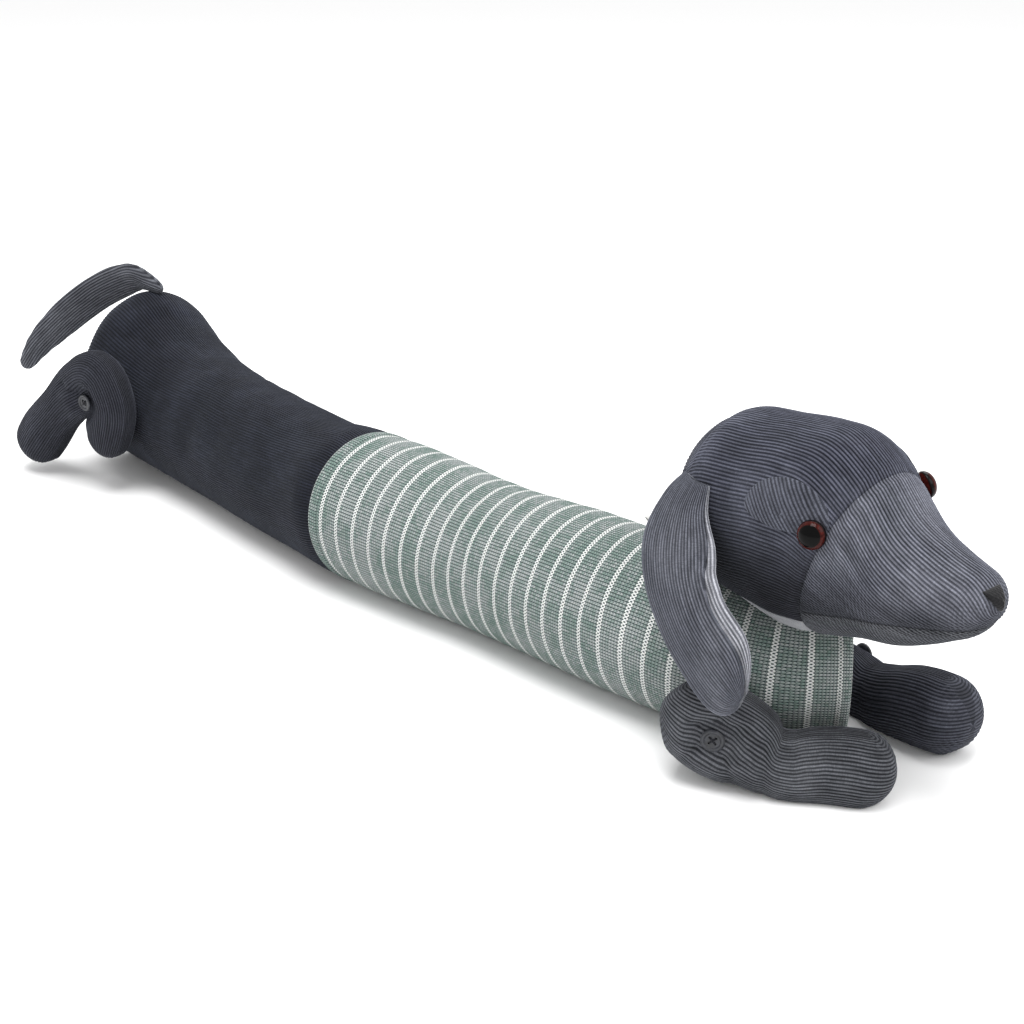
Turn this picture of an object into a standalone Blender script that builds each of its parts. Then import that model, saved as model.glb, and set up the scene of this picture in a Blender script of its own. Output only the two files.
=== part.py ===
import bpy
import bmesh
import numpy as np
from math import radians, sin, cos, pi, sqrt, exp
from mathutils import Vector, Matrix, Euler
from mathutils.bvhtree import BVHTree

# Draught excluder: a long filled corduroy dog that wears a knitted jumper

mm = 0.001

# Driving sizes in millimetres
clothGap = 0.3
knitThickness = 2.4
hemExtra = 0.7
rumpCap = 30
rumpPeak = 12
peakPlace = 30
peakReach = 44
chestCap = 26
hemRear = 353
hemFront = 755
bodyAround = 26
floorPress = 3.5
underLift = 1.2
hemDepth = 9
hemEase = 9
hemMargin = 2
sleeveSteps = 15
legAround = 18
tuftDepth = 6
tuftFloor = 9
tuftRim = 19
buttonRadius = 6.8
buttonHeight = 2.6
buttonClear = 0.7
eyeRadius = 7.8
earThickness = 2.2
liningThickness = 1.4
farEarLift = 7
farEarForward = 11
browLift = 1.0
browAround = 14
browWidth = 25
browUp = 19
browDown = 8
seatReach = 25

# Columns: centre x, centre y, centre z, half width, half height
bodyTable = [
    (-487, 38, 66, 62, 66),
    (-468, 36, 66, 64, 66),
    (-430, 31, 60, 60, 60),
    (-390, 27, 55.5, 57, 55.5),
    (-345, 22, 52.5, 54, 52.5),
    (-300, 17, 51.5, 52, 51.5),
    (-240, 10, 50, 51, 50),
    (-180, 5, 50.5, 51, 50.5),
    (-120, 0, 53, 53, 53),
    (-60, 3, 51.5, 51, 51.5),
    (0, 8, 49, 49, 49),
    (60, 10, 50, 50, 50),
    (110, 11, 50.5, 50.5, 50.5),
    (150, 13, 50.5, 50, 50.5),
    (185, 19, 48, 50, 48),
    (216, 32, 46.5, 49, 46),
    (244, 54, 46.5, 46, 43.5),
]

# Columns: x, centre height, half width, up, down
headTable = [
    (-68, 0, 46, 44, 46),
    (-42, 0, 48, 48.5, 53),
    (-10, 0, 49, 53, 60),
    (20, 2, 49, 55, 65),
    (42, 3, 46, 53.5, 62),
    (62, -1, 39, 45.5, 52),
    (85, -9, 32, 29.5, 39),
    (105, -10, 26, 21, 29.5),
    (122, -10, 21, 16.5, 20),
    (137, -10, 17, 13, 13),
]
headCentre = (225, 16, 146)
headYaw = -6.8
headRoll = 4.5
headCapBack = 40
headCapNose = 15

# Columns: forward, up, half height, half thickness
frontLegTable = [
    (-31, 8, 15, 14),
    (-21, 5, 22, 18),
    (0, -2, 28, 21),
    (17, -8, 26, 21),
    (32, -15, 19, 21),
    (45, -16, 20, 21),
    (60, -12.5, 22, 20),
    (84, -10.5, 22.5, 20),
    (100, -12, 20, 19),
]
farLegTable = [
    (-28, -6, 10, 12),
    (-20, -5, 14, 16),
    (0, -9, 20, 18),
    (22, -15, 22, 18),
    (42, -11, 23, 20),
    (62, -4, 24, 22),
    (84, 0, 23.5, 22),
    (100, 1, 21, 22),
]
hindLegTable = [
    (3, -46, 15, 12),
    (11, -27, 21, 15),
    (17, 1, 23, 16),
    (5, 18, 23, 17),
    (-14, 8, 23, 17),
    (-44, -17, 20, 17),
    (-69, -43, 22, 19),
    (-88, -66, 20, 18),
]

# Columns: centre x, centre y, centre z, half width, lean of the flat side, half thickness
tailTable = [
    (-440, 39.5, 152, 4, 74, 4),
    (-453, 37.5, 156, 8, 72, 5),
    (-470, 34, 159, 12.5, 68, 5.5),
    (-486, 29, 154, 14.5, 64, 5),
    (-510, 22, 142, 15, 60, 5),
    (-535, 13.5, 125.5, 15, 57, 5),
    (-560, 4.5, 105.5, 14, 55, 5),
    (-582, -4, 85, 11, 54, 4.5),
    (-604, -10, 60, 6, 54, 4),
]

# Columns: centre x, centre y, centre z, half width
earTable = [
    (194, -33, 167, 8),
    (191, -39, 153, 15),
    (192, -45, 134, 24),
    (198, -50, 116, 26),
    (212, -56, 100, 26.5),
    (236, -64, 86, 27),
    (263, -71, 75, 26),
]

tones = {
    "Cord Dark": (0.035, 0.040, 0.055, 0.92),
    "Cord Slate": (0.090, 0.100, 0.125, 0.90),
    "Cord Pale": (0.150, 0.155, 0.180, 0.90),
    "Knit": (0.290, 0.350, 0.330, 0.95),
    "Plain Grey": (0.330, 0.335, 0.350, 0.85),
    "Button": (0.020, 0.022, 0.026, 0.35),
    "Eye": (0.010, 0.006, 0.006, 0.08),
    "Nose": (0.012, 0.012, 0.014, 0.75),
    "Label": (0.560, 0.560, 0.540, 0.80),
}


def material(title):
    existing = bpy.data.materials.get(title)
    if existing:
        return existing
    red, green, blue, rough = tones[title]
    made = bpy.data.materials.new(title)
    made.use_nodes = True
    shader = made.node_tree.nodes["Principled BSDF"]
    shader.inputs["Base Color"].default_value = (red, green, blue, 1)
    shader.inputs["Roughness"].default_value = rough
    shader.inputs["Metallic"].default_value = 0
    made.diffuse_color = (red, green, blue, 1)
    return made


def addObject(title, mesh, tone, smooth=True):
    mesh.materials.append(material(tone))
    mesh.polygons.foreach_set("use_smooth", [smooth] * len(mesh.polygons))
    made = bpy.data.objects.new(title, mesh)
    partCollection.objects.link(made)
    return made


def meshFrom(title, bm):
    bmesh.ops.recalc_face_normals(bm, faces=bm.faces)
    mesh = bpy.data.meshes.new(title)
    bm.to_mesh(mesh)
    bm.free()
    return mesh


# Smooth curve through the rows of a table, at given distances along it
class Rail:
    def __init__(self, rows, axes=3):
        self.rows = np.array(rows, float)
        steps = np.linalg.norm(np.diff(self.rows[:, :axes], axis=0), axis=1)
        self.marks = np.concatenate([[0], np.cumsum(steps)])
        self.length = self.marks[-1]
        self.slopes = np.gradient(self.rows, self.marks, axis=0)

    def at(self, distance):
        distance = min(max(distance, 0), self.length)
        index = min(int(np.searchsorted(self.marks, distance, side="right")) - 1, len(self.marks) - 2)
        span = self.marks[index + 1] - self.marks[index]
        t = (distance - self.marks[index]) / span
        before = self.rows[index] * (2 * t**3 - 3 * t**2 + 1)
        before += self.slopes[index] * span * (t**3 - 2 * t**2 + t)
        after = self.rows[index + 1] * (3 * t**2 - 2 * t**3) + self.slopes[index + 1] * span * (t**3 - t**2)
        return before + after

    def heading(self, distance, axes=3):
        step = 1.5
        ahead = self.at(distance + step)[:axes]
        behind = self.at(distance - step)[:axes]
        return Vector(ahead - behind).normalized()


# Distances along a filled piece with its two rounded ends, each with its share of the full section
def roundedStations(length, startCap, endCap, middle, capSteps):
    stations = []
    for step in range(1, capSteps + 1):
        turn = step / capSteps * pi / 2
        stations.append((startCap * (1 - cos(turn)), sin(turn)))
    for step in range(1, middle):
        stations.append((startCap + (length - startCap - endCap) * step / middle, 1.0))
    for step in range(capSteps, 0, -1):
        turn = step / capSteps * pi / 2
        stations.append((length - endCap * (1 - cos(turn)), sin(turn)))
    return stations


def loft(bm, rings, poles=None, closed=False):
    loops = [[bm.verts.new(point) for point in ring] for ring in rings]
    count = len(loops[0])
    pairs = list(zip(loops, loops[1:]))
    if closed:
        pairs.append((loops[-1], loops[0]))
    for low, high in pairs:
        for k in range(count):
            bm.faces.new((low[k], low[(k + 1) % count], high[(k + 1) % count], high[k]))
    if poles:
        for loop, pole in ((loops[0], poles[0]), (loops[-1], poles[1])):
            tip = bm.verts.new(pole)
            for k in range(count):
                bm.faces.new((loop[k], loop[(k + 1) % count], tip))
    return loops


bodyRail = Rail(bodyTable)


# The tail draws the top of the rump up into a ridge
def peakRise(distance, share, turn):
    if turn > pi:
        return 0
    return rumpPeak * exp(-((distance - peakPlace) / peakReach) ** 2) * sqrt(share) * sin(turn) ** 2


# One ring of the tube, drawn in by an inset and pressed flat where it lies on the floor
def bodyRing(distance, share, inset, around, floorLift):
    row = bodyRail.at(distance)
    ahead = bodyRail.heading(distance)
    across = Vector((-ahead.y, ahead.x, 0)).normalized()
    upward = ahead.cross(across)
    if upward.z < 0:
        upward.negate()
    centre = Vector(row[:3])
    ring = []
    for k in range(around):
        turn = 2 * pi * (k + 0.5) / around
        wide = (row[3] - inset) * share * cos(turn)
        sag = floorPress if turn > pi else 0
        high = (row[4] - inset + sag) * share * sin(turn) + peakRise(distance, share, turn)
        point = centre + across * wide + upward * high
        point.z = max(point.z, floorLift)
        ring.append(point * mm)
    return ring


def poleAt(distance, floorLift):
    point = Vector(bodyRail.at(distance)[:3])
    point.z = max(point.z, floorLift)
    return point * mm


# How far the body is drawn in under the jumper, eased over a few millimetres at each hem
def sleeveInset(distance):
    rear = min(max((distance - hemRear) / hemEase, 0), 1)
    front = min(max((hemFront - distance) / hemEase, 0), 1)
    share = min(rear, front)
    return (knitThickness + hemExtra + clothGap + 0.1) * share * share * (3 - 2 * share)


# Distances of the jumper's rings, which the body under it shares
def sleeveMarks():
    start = hemRear + hemEase + hemMargin
    end = hemFront - hemEase - hemMargin
    ends = [0, 0.6, 3, hemDepth - 2, hemDepth + 1]
    inner = end - start - 2 * ends[-1]
    marks = [start + mark for mark in ends]
    marks += [start + ends[-1] + inner * k / sleeveSteps for k in range(1, sleeveSteps)]
    return marks + [end - mark for mark in reversed(ends)]


def buildBody():
    bm = bmesh.new()
    rear = roundedStations(bodyRail.length, rumpCap, chestCap, 34, 6)
    eases = [hemRear, hemRear + 4, hemRear + hemEase, hemFront - hemEase, hemFront - 4, hemFront]
    stations = [item for item in rear if item[0] < hemRear - 4 or item[0] > hemFront + 2]
    stations += [(mark, 1.0) for mark in eases + sleeveMarks()]
    rings = []
    for distance, share in sorted(stations):
        inset = sleeveInset(distance)
        rings.append(bodyRing(distance, share, inset, bodyAround, inset * underLift))
    loft(bm, rings, (poleAt(0, 0), poleAt(bodyRail.length, 0)))
    return addObject("body", meshFrom("body", bm), "Cord Dark")


# Knitted sleeve with a thicker turned hem at each end
def buildJumper():
    bm = bmesh.new()
    marks = sleeveMarks()
    full = knitThickness + hemExtra
    rings = []
    for mark in marks:
        edge = min(mark - marks[0], marks[-1] - mark)
        drawn = 0
        if edge < 0.3:
            drawn = 0.9
        elif edge < 1:
            drawn = 0.3
        elif hemDepth - 0.5 < edge < hemDepth + 2:
            drawn = hemExtra
        rings.append(bodyRing(mark, 1, drawn, bodyAround, 0))
    for mark in reversed(marks):
        edge = min(mark - marks[0], marks[-1] - mark)
        drawn = -0.9 if edge < 0.3 else 0
        rings.append(bodyRing(mark, 1, full + drawn, bodyAround, full))
    loft(bm, rings, closed=True)
    return addObject("jumper", meshFrom("jumper", bm), "Knit")


# Filled leg about its button: a round part tufted on both faces and a foot, flat where it meets the floor
def buildLeg(title, table, side, place, lean, pitch, yaw):
    rail = Rail(table, 2)
    bm = bmesh.new()
    turned = Euler((radians(lean), radians(-pitch), radians(yaw))).to_matrix().to_4x4()
    pose = Matrix.Translation(Vector(place) * mm) @ turned
    back = pose.inverted()
    stations = roundedStations(rail.length, 16, 19, 13, 4)
    rings = []
    for distance, share in stations:
        row = rail.at(distance)
        ahead = rail.heading(distance, 2)
        normal = Vector((-ahead[1], ahead[0]))
        ring = []
        for k in range(legAround):
            turn = 2 * pi * k / legAround
            high = row[2] * share * cos(turn)
            thick = row[3] * share * sin(turn)
            forward = row[0] + normal.x * high
            upward = row[1] + normal.y * high
            reach = sqrt(forward**2 + upward**2)
            sunk = min(max((tuftRim - reach) / (tuftRim - tuftFloor), 0), 1)
            dimple = 1 - tuftDepth / row[3] * sunk * sunk * (3 - 2 * sunk)
            point = pose @ (Vector((forward, side * thick * dimple, upward)) * mm)
            point.z = max(point.z, 0)
            ring.append(back @ point)
        rings.append(ring)
    first, last = rail.at(0), rail.at(rail.length)
    poles = [Vector((row[0], 0, row[1])) * mm for row in (first, last)]
    loft(bm, rings, poles)
    leg = addObject(title, meshFrom(title, bm), "Cord Slate")
    leg.matrix_world = pose
    return leg


# Sew-through button with a raised rim and four holes
def buildButton(title, leg, side, depth):
    bm = bmesh.new()
    profile = [(0, 0), (5.6, 0), (buttonRadius, 0.7), (buttonRadius, 1.9), (6.0, buttonHeight),
               (5.0, 2.4), (4.3, 1.7), (0, 1.7)]
    around = 18
    rings = []
    for radius, height in profile[1:-1]:
        ring = []
        for k in range(around):
            turn = 2 * pi * k / around
            ring.append(Vector((radius * cos(turn), radius * sin(turn), height)) * mm)
        rings.append(ring)
    loft(bm, rings, (Vector((0, 0, 0)), Vector((0, 0, 1.7)) * mm))
    button = addObject(title, meshFrom(title, bm), "Button")
    bpy.context.view_layer.update()
    turnOut = Matrix.Rotation(radians(90 * -side), 4, "X")
    outward = Matrix.Translation(Vector((0, side * depth, 0)) * mm) @ turnOut
    button.matrix_world = leg.matrix_world @ outward
    bm = bmesh.new()
    holeOffset = 1.7
    holeRadius = 0.8
    for dx, dy in ((1, 1), (1, -1), (-1, 1), (-1, -1)):
        spot = Matrix.Translation(Vector((dx * holeOffset, dy * holeOffset, 1)) * mm)
        bmesh.ops.create_cone(bm, cap_ends=True, segments=8, radius1=holeRadius * mm, radius2=holeRadius * mm,
                              depth=6 * mm, matrix=spot)
    cutter = bpy.data.objects.new(title + "_holes", meshFrom(title + "_holes", bm))
    cutter.hide_render = True
    cutter.display_type = "WIRE"
    cutterCollection.objects.link(cutter)
    cutter.matrix_world = button.matrix_world
    cut = button.modifiers.new("holes", "BOOLEAN")
    cut.operation = "DIFFERENCE"
    cut.solver = "EXACT"
    cut.object = cutter
    return button


headRail = Rail([(x, 0, z, w, u, d) for x, z, w, u, d in headTable], 1)
headPlace = Matrix.Translation(Vector(headCentre) * mm)
headPlace = headPlace @ Matrix.Rotation(radians(headYaw), 4, "Z") @ Matrix.Rotation(radians(headRoll), 4, "X")


# The whole stuffed head in its own frame, grown or shrunk by a few tenths
def headForm(grow=0.0):
    bm = bmesh.new()
    around = 26
    rings = []
    for distance, share in roundedStations(headRail.length, headCapBack, headCapNose, 14, 5):
        row = headRail.at(distance)
        ring = []
        for k in range(around):
            turn = 2 * pi * (k + 0.5) / around
            wide = (row[3] * share + grow) * cos(turn)
            tall = ((row[4] if sin(turn) > 0 else row[5]) * share + grow) * sin(turn)
            ring.append(Vector((row[0], wide, row[2] + tall)) * mm)
        rings.append(ring)
    first, last = headRail.at(0), headRail.at(headRail.length)
    poles = (Vector((first[0] - grow, 0, first[2])) * mm, Vector((last[0] + grow, 0, last[2])) * mm)
    loft(bm, rings, poles)
    bmesh.ops.recalc_face_normals(bm, faces=bm.faces)
    return bm


# Seams of the head: a point on each seam plane and the way it faces, in the head's frame
backSeam = ((-52, 0, 0), (-1, 0, 0.2))
baseSeam = ((0, 0, -47), (0.08, 0, -1))
muzzleSeam = ((52, 0, 0), (1, 0, -0.35))
mouthSeam = ((52, 0, -33), (0.17, 0, -1))


# Keeps what lies on the back side of each seam plane, half a gap short of it
def headPanel(title, tone, keeps):
    bm = headForm()
    for seam, side in keeps:
        spot, way = seam
        normal = Vector(way).normalized() * side
        point = (Vector(spot) - normal * clothGap / 2) * mm
        geometry = bm.verts[:] + bm.edges[:] + bm.faces[:]
        cut = bmesh.ops.bisect_plane(bm, geom=geometry, dist=1e-7, plane_co=point, plane_no=normal,
                                     clear_outer=True)
        rim = [item for item in cut["geom_cut"] if isinstance(item, bmesh.types.BMEdge)]
        bmesh.ops.holes_fill(bm, edges=rim, sides=0)
    bmesh.ops.triangulate(bm, faces=[face for face in bm.faces if len(face.verts) > 4])
    panel = addObject(title, meshFrom(title, bm), tone)
    panel.matrix_world = headPlace
    return panel


# Cloth pad that follows the head: an outline about a centre, laid on from outside
def headPad(title, tone, tree, aim, facing, outline, thickness, dome, lift):
    normal = Vector(facing).normalized()
    sideways = normal.cross(Vector((0, 0, 1))).normalized()
    upward = sideways.cross(normal)
    bm = bmesh.new()
    shares = (1.0, 0.8, 0.5, 0.22)
    outerRings = []
    innerRings = []
    for share in shares:
        outer = []
        inner = []
        for along, up in outline:
            start = (Vector(aim) + sideways * along * share + upward * up * share) * mm + normal * 0.08
            hit, facingHit, index, reach = tree.ray_cast(start, -normal)
            rise = thickness + dome * (1 - share**2)
            outer.append(hit + facingHit * (lift + rise) * mm)
            inner.append(hit + facingHit * lift * mm)
        outerRings.append(outer)
        innerRings.append(inner)
    start = Vector(aim) * mm + normal * 0.08
    hit, facingHit, index, reach = tree.ray_cast(start, -normal)
    poles = (hit + normal * lift * mm, hit + normal * (lift + thickness + dome) * mm)
    loft(bm, innerRings[::-1] + outerRings, poles)
    pad = addObject(title, meshFrom(title, bm), tone)
    pad.matrix_world = headPlace
    return pad


# Eye: a domed glossy button with a flat back, resting on the cloth
def buildEye(title, tree, aim, facing):
    normal = Vector(facing).normalized()
    start = Vector(aim) * mm + normal * 0.08
    hit, facingHit, index, reach = tree.ray_cast(start, -normal)
    bm = bmesh.new()
    around = 20
    backLift = 3.0
    rings = []
    profile = [(0, 0.9), (0.8, 1), (2.8, 0.93), (4.6, 0.74), (5.9, 0.42)]
    for height, share in profile:
        radius = eyeRadius * share
        ring = []
        for k in range(around):
            turn = 2 * pi * k / around
            ring.append(Vector((radius * cos(turn), radius * sin(turn), height)) * mm)
        rings.append(ring)
    loft(bm, rings, (Vector((0, 0, 0)), Vector((0, 0, 6.3)) * mm))
    eye = addObject(title, meshFrom(title, bm), "Eye")
    turn = normal.to_track_quat("Z", "Y").to_matrix().to_4x4()
    eye.matrix_world = headPlace @ Matrix.Translation(hit + normal * backLift * mm) @ turn
    return eye


# Layer of cloth over a surface, closed all round with a thin edge
def clothLayer(title, tone, surface, alongCount, acrossCount, thickness, offset):
    points = []
    for i in range(alongCount + 1):
        row = []
        for j in range(acrossCount + 1):
            u = i / alongCount
            v = j / acrossCount * 2 - 1
            step = 0.01
            alongWay = surface(min(u + step, 1), v) - surface(max(u - step, 0), v)
            acrossWay = surface(u, min(v + step, 1)) - surface(u, max(v - step, -1))
            row.append((surface(u, v), alongWay.cross(acrossWay).normalized()))
        points.append(row)
    bm = bmesh.new()
    rims = []
    for height in (offset, offset + thickness):
        sheet = [[bm.verts.new((point + normal * height) * mm) for point, normal in row] for row in points]
        for low, high in zip(sheet, sheet[1:]):
            for j in range(acrossCount):
                bm.faces.new((low[j], low[j + 1], high[j + 1]))
                bm.faces.new((low[j], high[j + 1], high[j]))
        downSide = [row[-1] for row in sheet[1:-1]]
        upSide = [row[0] for row in sheet[-2:0:-1]]
        rims.append(sheet[0] + downSide + sheet[-1][::-1] + upSide)
    inner, outer = rims
    for k in range(len(inner)):
        following = (k + 1) % len(inner)
        bm.faces.new((inner[k], inner[following], outer[following], outer[k]))
    return addObject(title, meshFrom(title, bm), tone)


# Ear surface: a narrow root, a wide middle that cups round the head and a rounded end
def earSurface(mirrorY, side):
    rail = Rail(earTable)
    endCap = 24

    def surface(u, v):
        distance = rail.length * u
        row = rail.at(distance)
        ahead = rail.heading(distance)
        left = rail.length - distance
        share = sqrt(max(1 - max(1 - left / endCap, 0) ** 2, 0.05))
        frontWay = Vector((0, 1, 0)).cross(ahead).normalized()
        if frontWay.x < 0:
            frontWay.negate()
        curl = 4.0 * (v**2) * share
        point = Vector(row[:3]) + frontWay * row[3] * v * share
        point.y += curl
        if side > 0:
            point.y = 2 * mirrorY - point.y
            point.z += farEarLift
            point.x += farEarForward
        return point
    return surface


def buildTail():
    rail = Rail(tailTable)
    bm = bmesh.new()
    rings = []
    around = 14
    for distance, share in roundedStations(rail.length, 6, 9, 11, 3):
        row = rail.at(distance)
        ahead = rail.heading(distance)
        across = Vector((0, 1, 0)) - ahead * ahead.y
        across.normalize()
        upward = ahead.cross(across)
        lean = radians(row[4])
        wideWay = across * cos(lean) + upward * sin(lean)
        thickWay = upward * cos(lean) - across * sin(lean)
        ring = []
        for k in range(around):
            turn = 2 * pi * k / around
            wide = wideWay * row[3] * share * cos(turn)
            ring.append((Vector(row[:3]) + wide + thickWay * row[5] * share * sin(turn)) * mm)
        rings.append(ring)
    poles = [Vector(rail.at(end)[:3]) * mm for end in (0, rail.length)]
    loft(bm, rings, poles)
    return addObject("tail", meshFrom("tail", bm), "Cord Pale")


# Small folded label: two leaves joined by a bend
def buildLabel():
    bm = bmesh.new()
    profile = [(0, 1.0), (14, 0.9), (16, 0.3), (16.4, -0.3), (15.8, -0.9), (14, -0.9), (0, -1.0)]
    rings = []
    for y in (-5, 5):
        rings.append([Vector((x, y, z)) * mm for x, z in profile])
    loops = loft(bm, rings)
    for loop in loops:
        bm.faces.new(loop)
    label = addObject("label", meshFrom("label", bm), "Label", False)
    label.location = Vector((131, 24, 107)) * mm
    label.rotation_euler = (radians(8), radians(-28), radians(172))
    return label


def cutWith(target, form, title):
    cutter = bpy.data.objects.new(title, form)
    cutter.hide_render = True
    cutter.display_type = "WIRE"
    cutterCollection.objects.link(cutter)
    cutter.matrix_world = headPlace
    cut = target.modifiers.new("head seat", "BOOLEAN")
    cut.operation = "DIFFERENCE"
    cut.solver = "EXACT"
    cut.object = cutter


# Tree of a finished piece in world space, with its corners
def solidOf(piece):
    bpy.context.view_layer.update()
    solid = piece.evaluated_get(bpy.context.evaluated_depsgraph_get())
    corners = [solid.matrix_world @ vert.co for vert in solid.data.vertices]
    faces = [tuple(face.vertices) for face in solid.data.polygons]
    return BVHTree.FromPolygons(corners, faces), corners


# Slides pieces together along a way until they lie a gap from what carries them
def seatOn(pieces, carriers, way, gap, most):
    way = Vector(way).normalized()
    travel = most * mm
    for piece in pieces:
        tree, corners = solidOf(piece)
        for carrier in carriers:
            carrierTree, carrierCorners = solidOf(carrier)
            for own, other, sign in ((corners, carrierTree, 1), (carrierCorners, tree, -1)):
                for corner in own:
                    hit = other.ray_cast(corner, way * sign, travel)
                    if hit[0]:
                        travel = min(travel, hit[3])
    slide = way * (travel - gap * mm)
    for piece in pieces:
        piece.matrix_world = Matrix.Translation(slide) @ piece.matrix_world
    held = [solidOf(carrier)[0] for carrier in carriers]
    backStep = Matrix.Translation(way * -0.2 * mm)
    for attempt in range(40):
        if not any(solidOf(piece)[0].overlap(tree) for piece in pieces for tree in held):
            break
        for piece in pieces:
            piece.matrix_world = backStep @ piece.matrix_world
    for piece in pieces:
        piece.matrix_world = Matrix.Translation(way * -clothGap * mm) @ piece.matrix_world
    print("seated", pieces[0].name, round((travel / mm) - gap - attempt * 0.2 - clothGap, 2), "mm")


# Clear the file and make the two collections
for leftover in list(bpy.data.objects):
    bpy.data.objects.remove(leftover, do_unlink=True)
partCollection = bpy.data.collections.new("draught_excluder")
cutterCollection = bpy.data.collections.new("cutters")
bpy.context.scene.collection.children.link(partCollection)
bpy.context.scene.collection.children.link(cutterCollection)

body = buildBody()
jumper = buildJumper()
headSeat = meshFrom("head_seat", headForm(clothGap))
cutWith(body, headSeat, "head_seat_body")
cutWith(jumper, headSeat, "head_seat_jumper")

# Head panels
headBack = headPanel("head_back", "Plain Grey", [(backSeam, -1)])
headBase = headPanel("head_base", "Plain Grey", [(backSeam, 1), (baseSeam, -1), (muzzleSeam, 1)])
headCrown = headPanel("head_crown", "Cord Dark", [(backSeam, 1), (baseSeam, 1), (muzzleSeam, 1)])
headPanel("head_muzzle", "Cord Pale", [(muzzleSeam, -1), (mouthSeam, 1)])
headPanel("head_jaw", "Cord Pale", [(muzzleSeam, -1), (mouthSeam, -1)])

# Pads on the head
form = headForm()
headTree = BVHTree.FromBMesh(form)
form.free()
browOutline = []
for k in range(browAround):
    turn = 2 * pi * k / browAround
    browOutline.append((browWidth * cos(turn), (browUp if sin(turn) > 0 else browDown) * sin(turn)))
for side, word in ((-1, "near"), (1, "far")):
    aim = (34, side * 42, 22)
    facing = (0.15, side, 0.35)
    headPad("brow_" + word, "Cord Slate", headTree, aim, facing, browOutline, 0.9, 1.2, browLift)
    buildEye("eye_" + word, headTree, (51, side * 35, 16), (0.4, side, 0.22))
noseHalf = [(0, 5.8), (3, 5.5), (6.0, 4.5), (5, 1), (2.6, -3), (0, -5.5)]
noseOutline = noseHalf + [(-x, y) for x, y in noseHalf[-2:0:-1]]
headPad("nose", "Nose", headTree, (128, 0, -5), (1, 0, 0.12), noseOutline, 1.0, 2.2, clothGap)

# Legs and their buttons, each leg drawn in against the tube by its button
legs = [
    ("leg_front_near", frontLegTable, -1, (224, -48, 33), 0, -5, 33, "button_front_near"),
    ("leg_front_far", farLegTable, 1, (217, 115, 23), 0, 0, -11, "button_front_far"),
    ("leg_hind_near", hindLegTable, -1, (-409, -60, 76), 0, -1, 10, "button_hind_near"),
    ("leg_hind_far", hindLegTable, 1, (-472, 126, 24), 80, 0, 35, "button_hind_far"),
]
legPieces = {}
for title, table, side, place, lean, pitch, yaw, buttonTitle in legs:
    leg = buildLeg(title, table, side, place, lean, pitch, yaw)
    seatOn([leg], [body, jumper], (0, -side, 0), 0, seatReach)
    bpy.context.view_layer.update()
    buttonRow = table[2]
    buildButton(buttonTitle, leg, side, buttonRow[3] - tuftDepth + buttonClear)
    legPieces[title] = leg

# Ears, sewn on by their roots
for side, word in ((-1, "near"), (1, "far")):
    surface = earSurface(19, side)
    outOffset = 0 if side < 0 else -earThickness
    inOffset = -clothGap - liningThickness if side < 0 else clothGap
    ear = clothLayer("ear_" + word, "Cord Slate", surface, 12, 8, earThickness, outOffset)
    lining = clothLayer("ear_lining_" + word, "Plain Grey", surface, 12, 8, liningThickness, inOffset)
    under = [headCrown, headBack, jumper, legPieces["leg_front_" + word]]
    seatOn([ear, lining], under, (0, -side, 0), 0, seatReach)

tail = buildTail()
seatOn([tail], [body], (0, 0, -1), 0, seatReach)
label = buildLabel()
seatOn([label], [jumper], (0, -0.5, -1), 0, seatReach)

# Centre the whole on its footprint with the lowest point on the floor
bpy.context.view_layer.update()
graph = bpy.context.evaluated_depsgraph_get()
corners = []
for item in partCollection.objects:
    solid = item.evaluated_get(graph)
    corners += [solid.matrix_world @ vert.co for vert in solid.data.vertices]
lows = [min(corner[axis] for corner in corners) for axis in range(3)]
highs = [max(corner[axis] for corner in corners) for axis in range(3)]
shift = Vector((-(lows[0] + highs[0]) / 2, -(lows[1] + highs[1]) / 2, -lows[2]))
for item in list(partCollection.objects) + list(cutterCollection.objects):
    item.matrix_world = Matrix.Translation(shift) @ item.matrix_world
print("size", [round(high - low, 4) for low, high in zip(lows, highs)], "shift", [round(v, 4) for v in shift])
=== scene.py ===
import bpy
import bmesh
import numpy as np
from math import sin, cos, asin, pi, sqrt, radians, exp
from mathutils import Vector, Matrix, Euler, noise
from mathutils.bvhtree import BVHTree


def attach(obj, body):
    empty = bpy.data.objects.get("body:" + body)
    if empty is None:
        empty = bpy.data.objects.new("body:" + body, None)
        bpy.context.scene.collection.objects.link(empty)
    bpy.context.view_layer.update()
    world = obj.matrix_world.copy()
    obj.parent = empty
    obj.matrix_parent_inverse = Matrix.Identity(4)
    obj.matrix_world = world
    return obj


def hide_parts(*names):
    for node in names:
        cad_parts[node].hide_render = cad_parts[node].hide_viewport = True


# Stuffed corduroy dachshund that keeps the draught out under a door, in a striped knitted jumper

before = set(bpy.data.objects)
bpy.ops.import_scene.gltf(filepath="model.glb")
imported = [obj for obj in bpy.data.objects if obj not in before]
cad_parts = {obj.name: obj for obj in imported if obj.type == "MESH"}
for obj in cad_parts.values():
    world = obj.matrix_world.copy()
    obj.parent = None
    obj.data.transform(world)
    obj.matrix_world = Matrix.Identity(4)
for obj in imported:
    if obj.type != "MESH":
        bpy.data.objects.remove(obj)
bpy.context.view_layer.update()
scene = bpy.context.scene
mm = 0.001
walePitch = 0.0021
waleDepth = 0.4  # millimetres from a rib's top to its groove
origin = Vector((120.9, -46.31, 0.0))  # millimetres, where the pattern's own zero lies on the floor


# Small helpers

def smooth(low, high, value):
    t = min(max((value - low) / (high - low), 0), 1)
    return t * t * (3 - 2 * t)


def lumps(point, size, seed=0.0):
    return noise.noise(Vector((point[0] / size + seed, point[1] / size, point[2] / size)))


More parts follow.
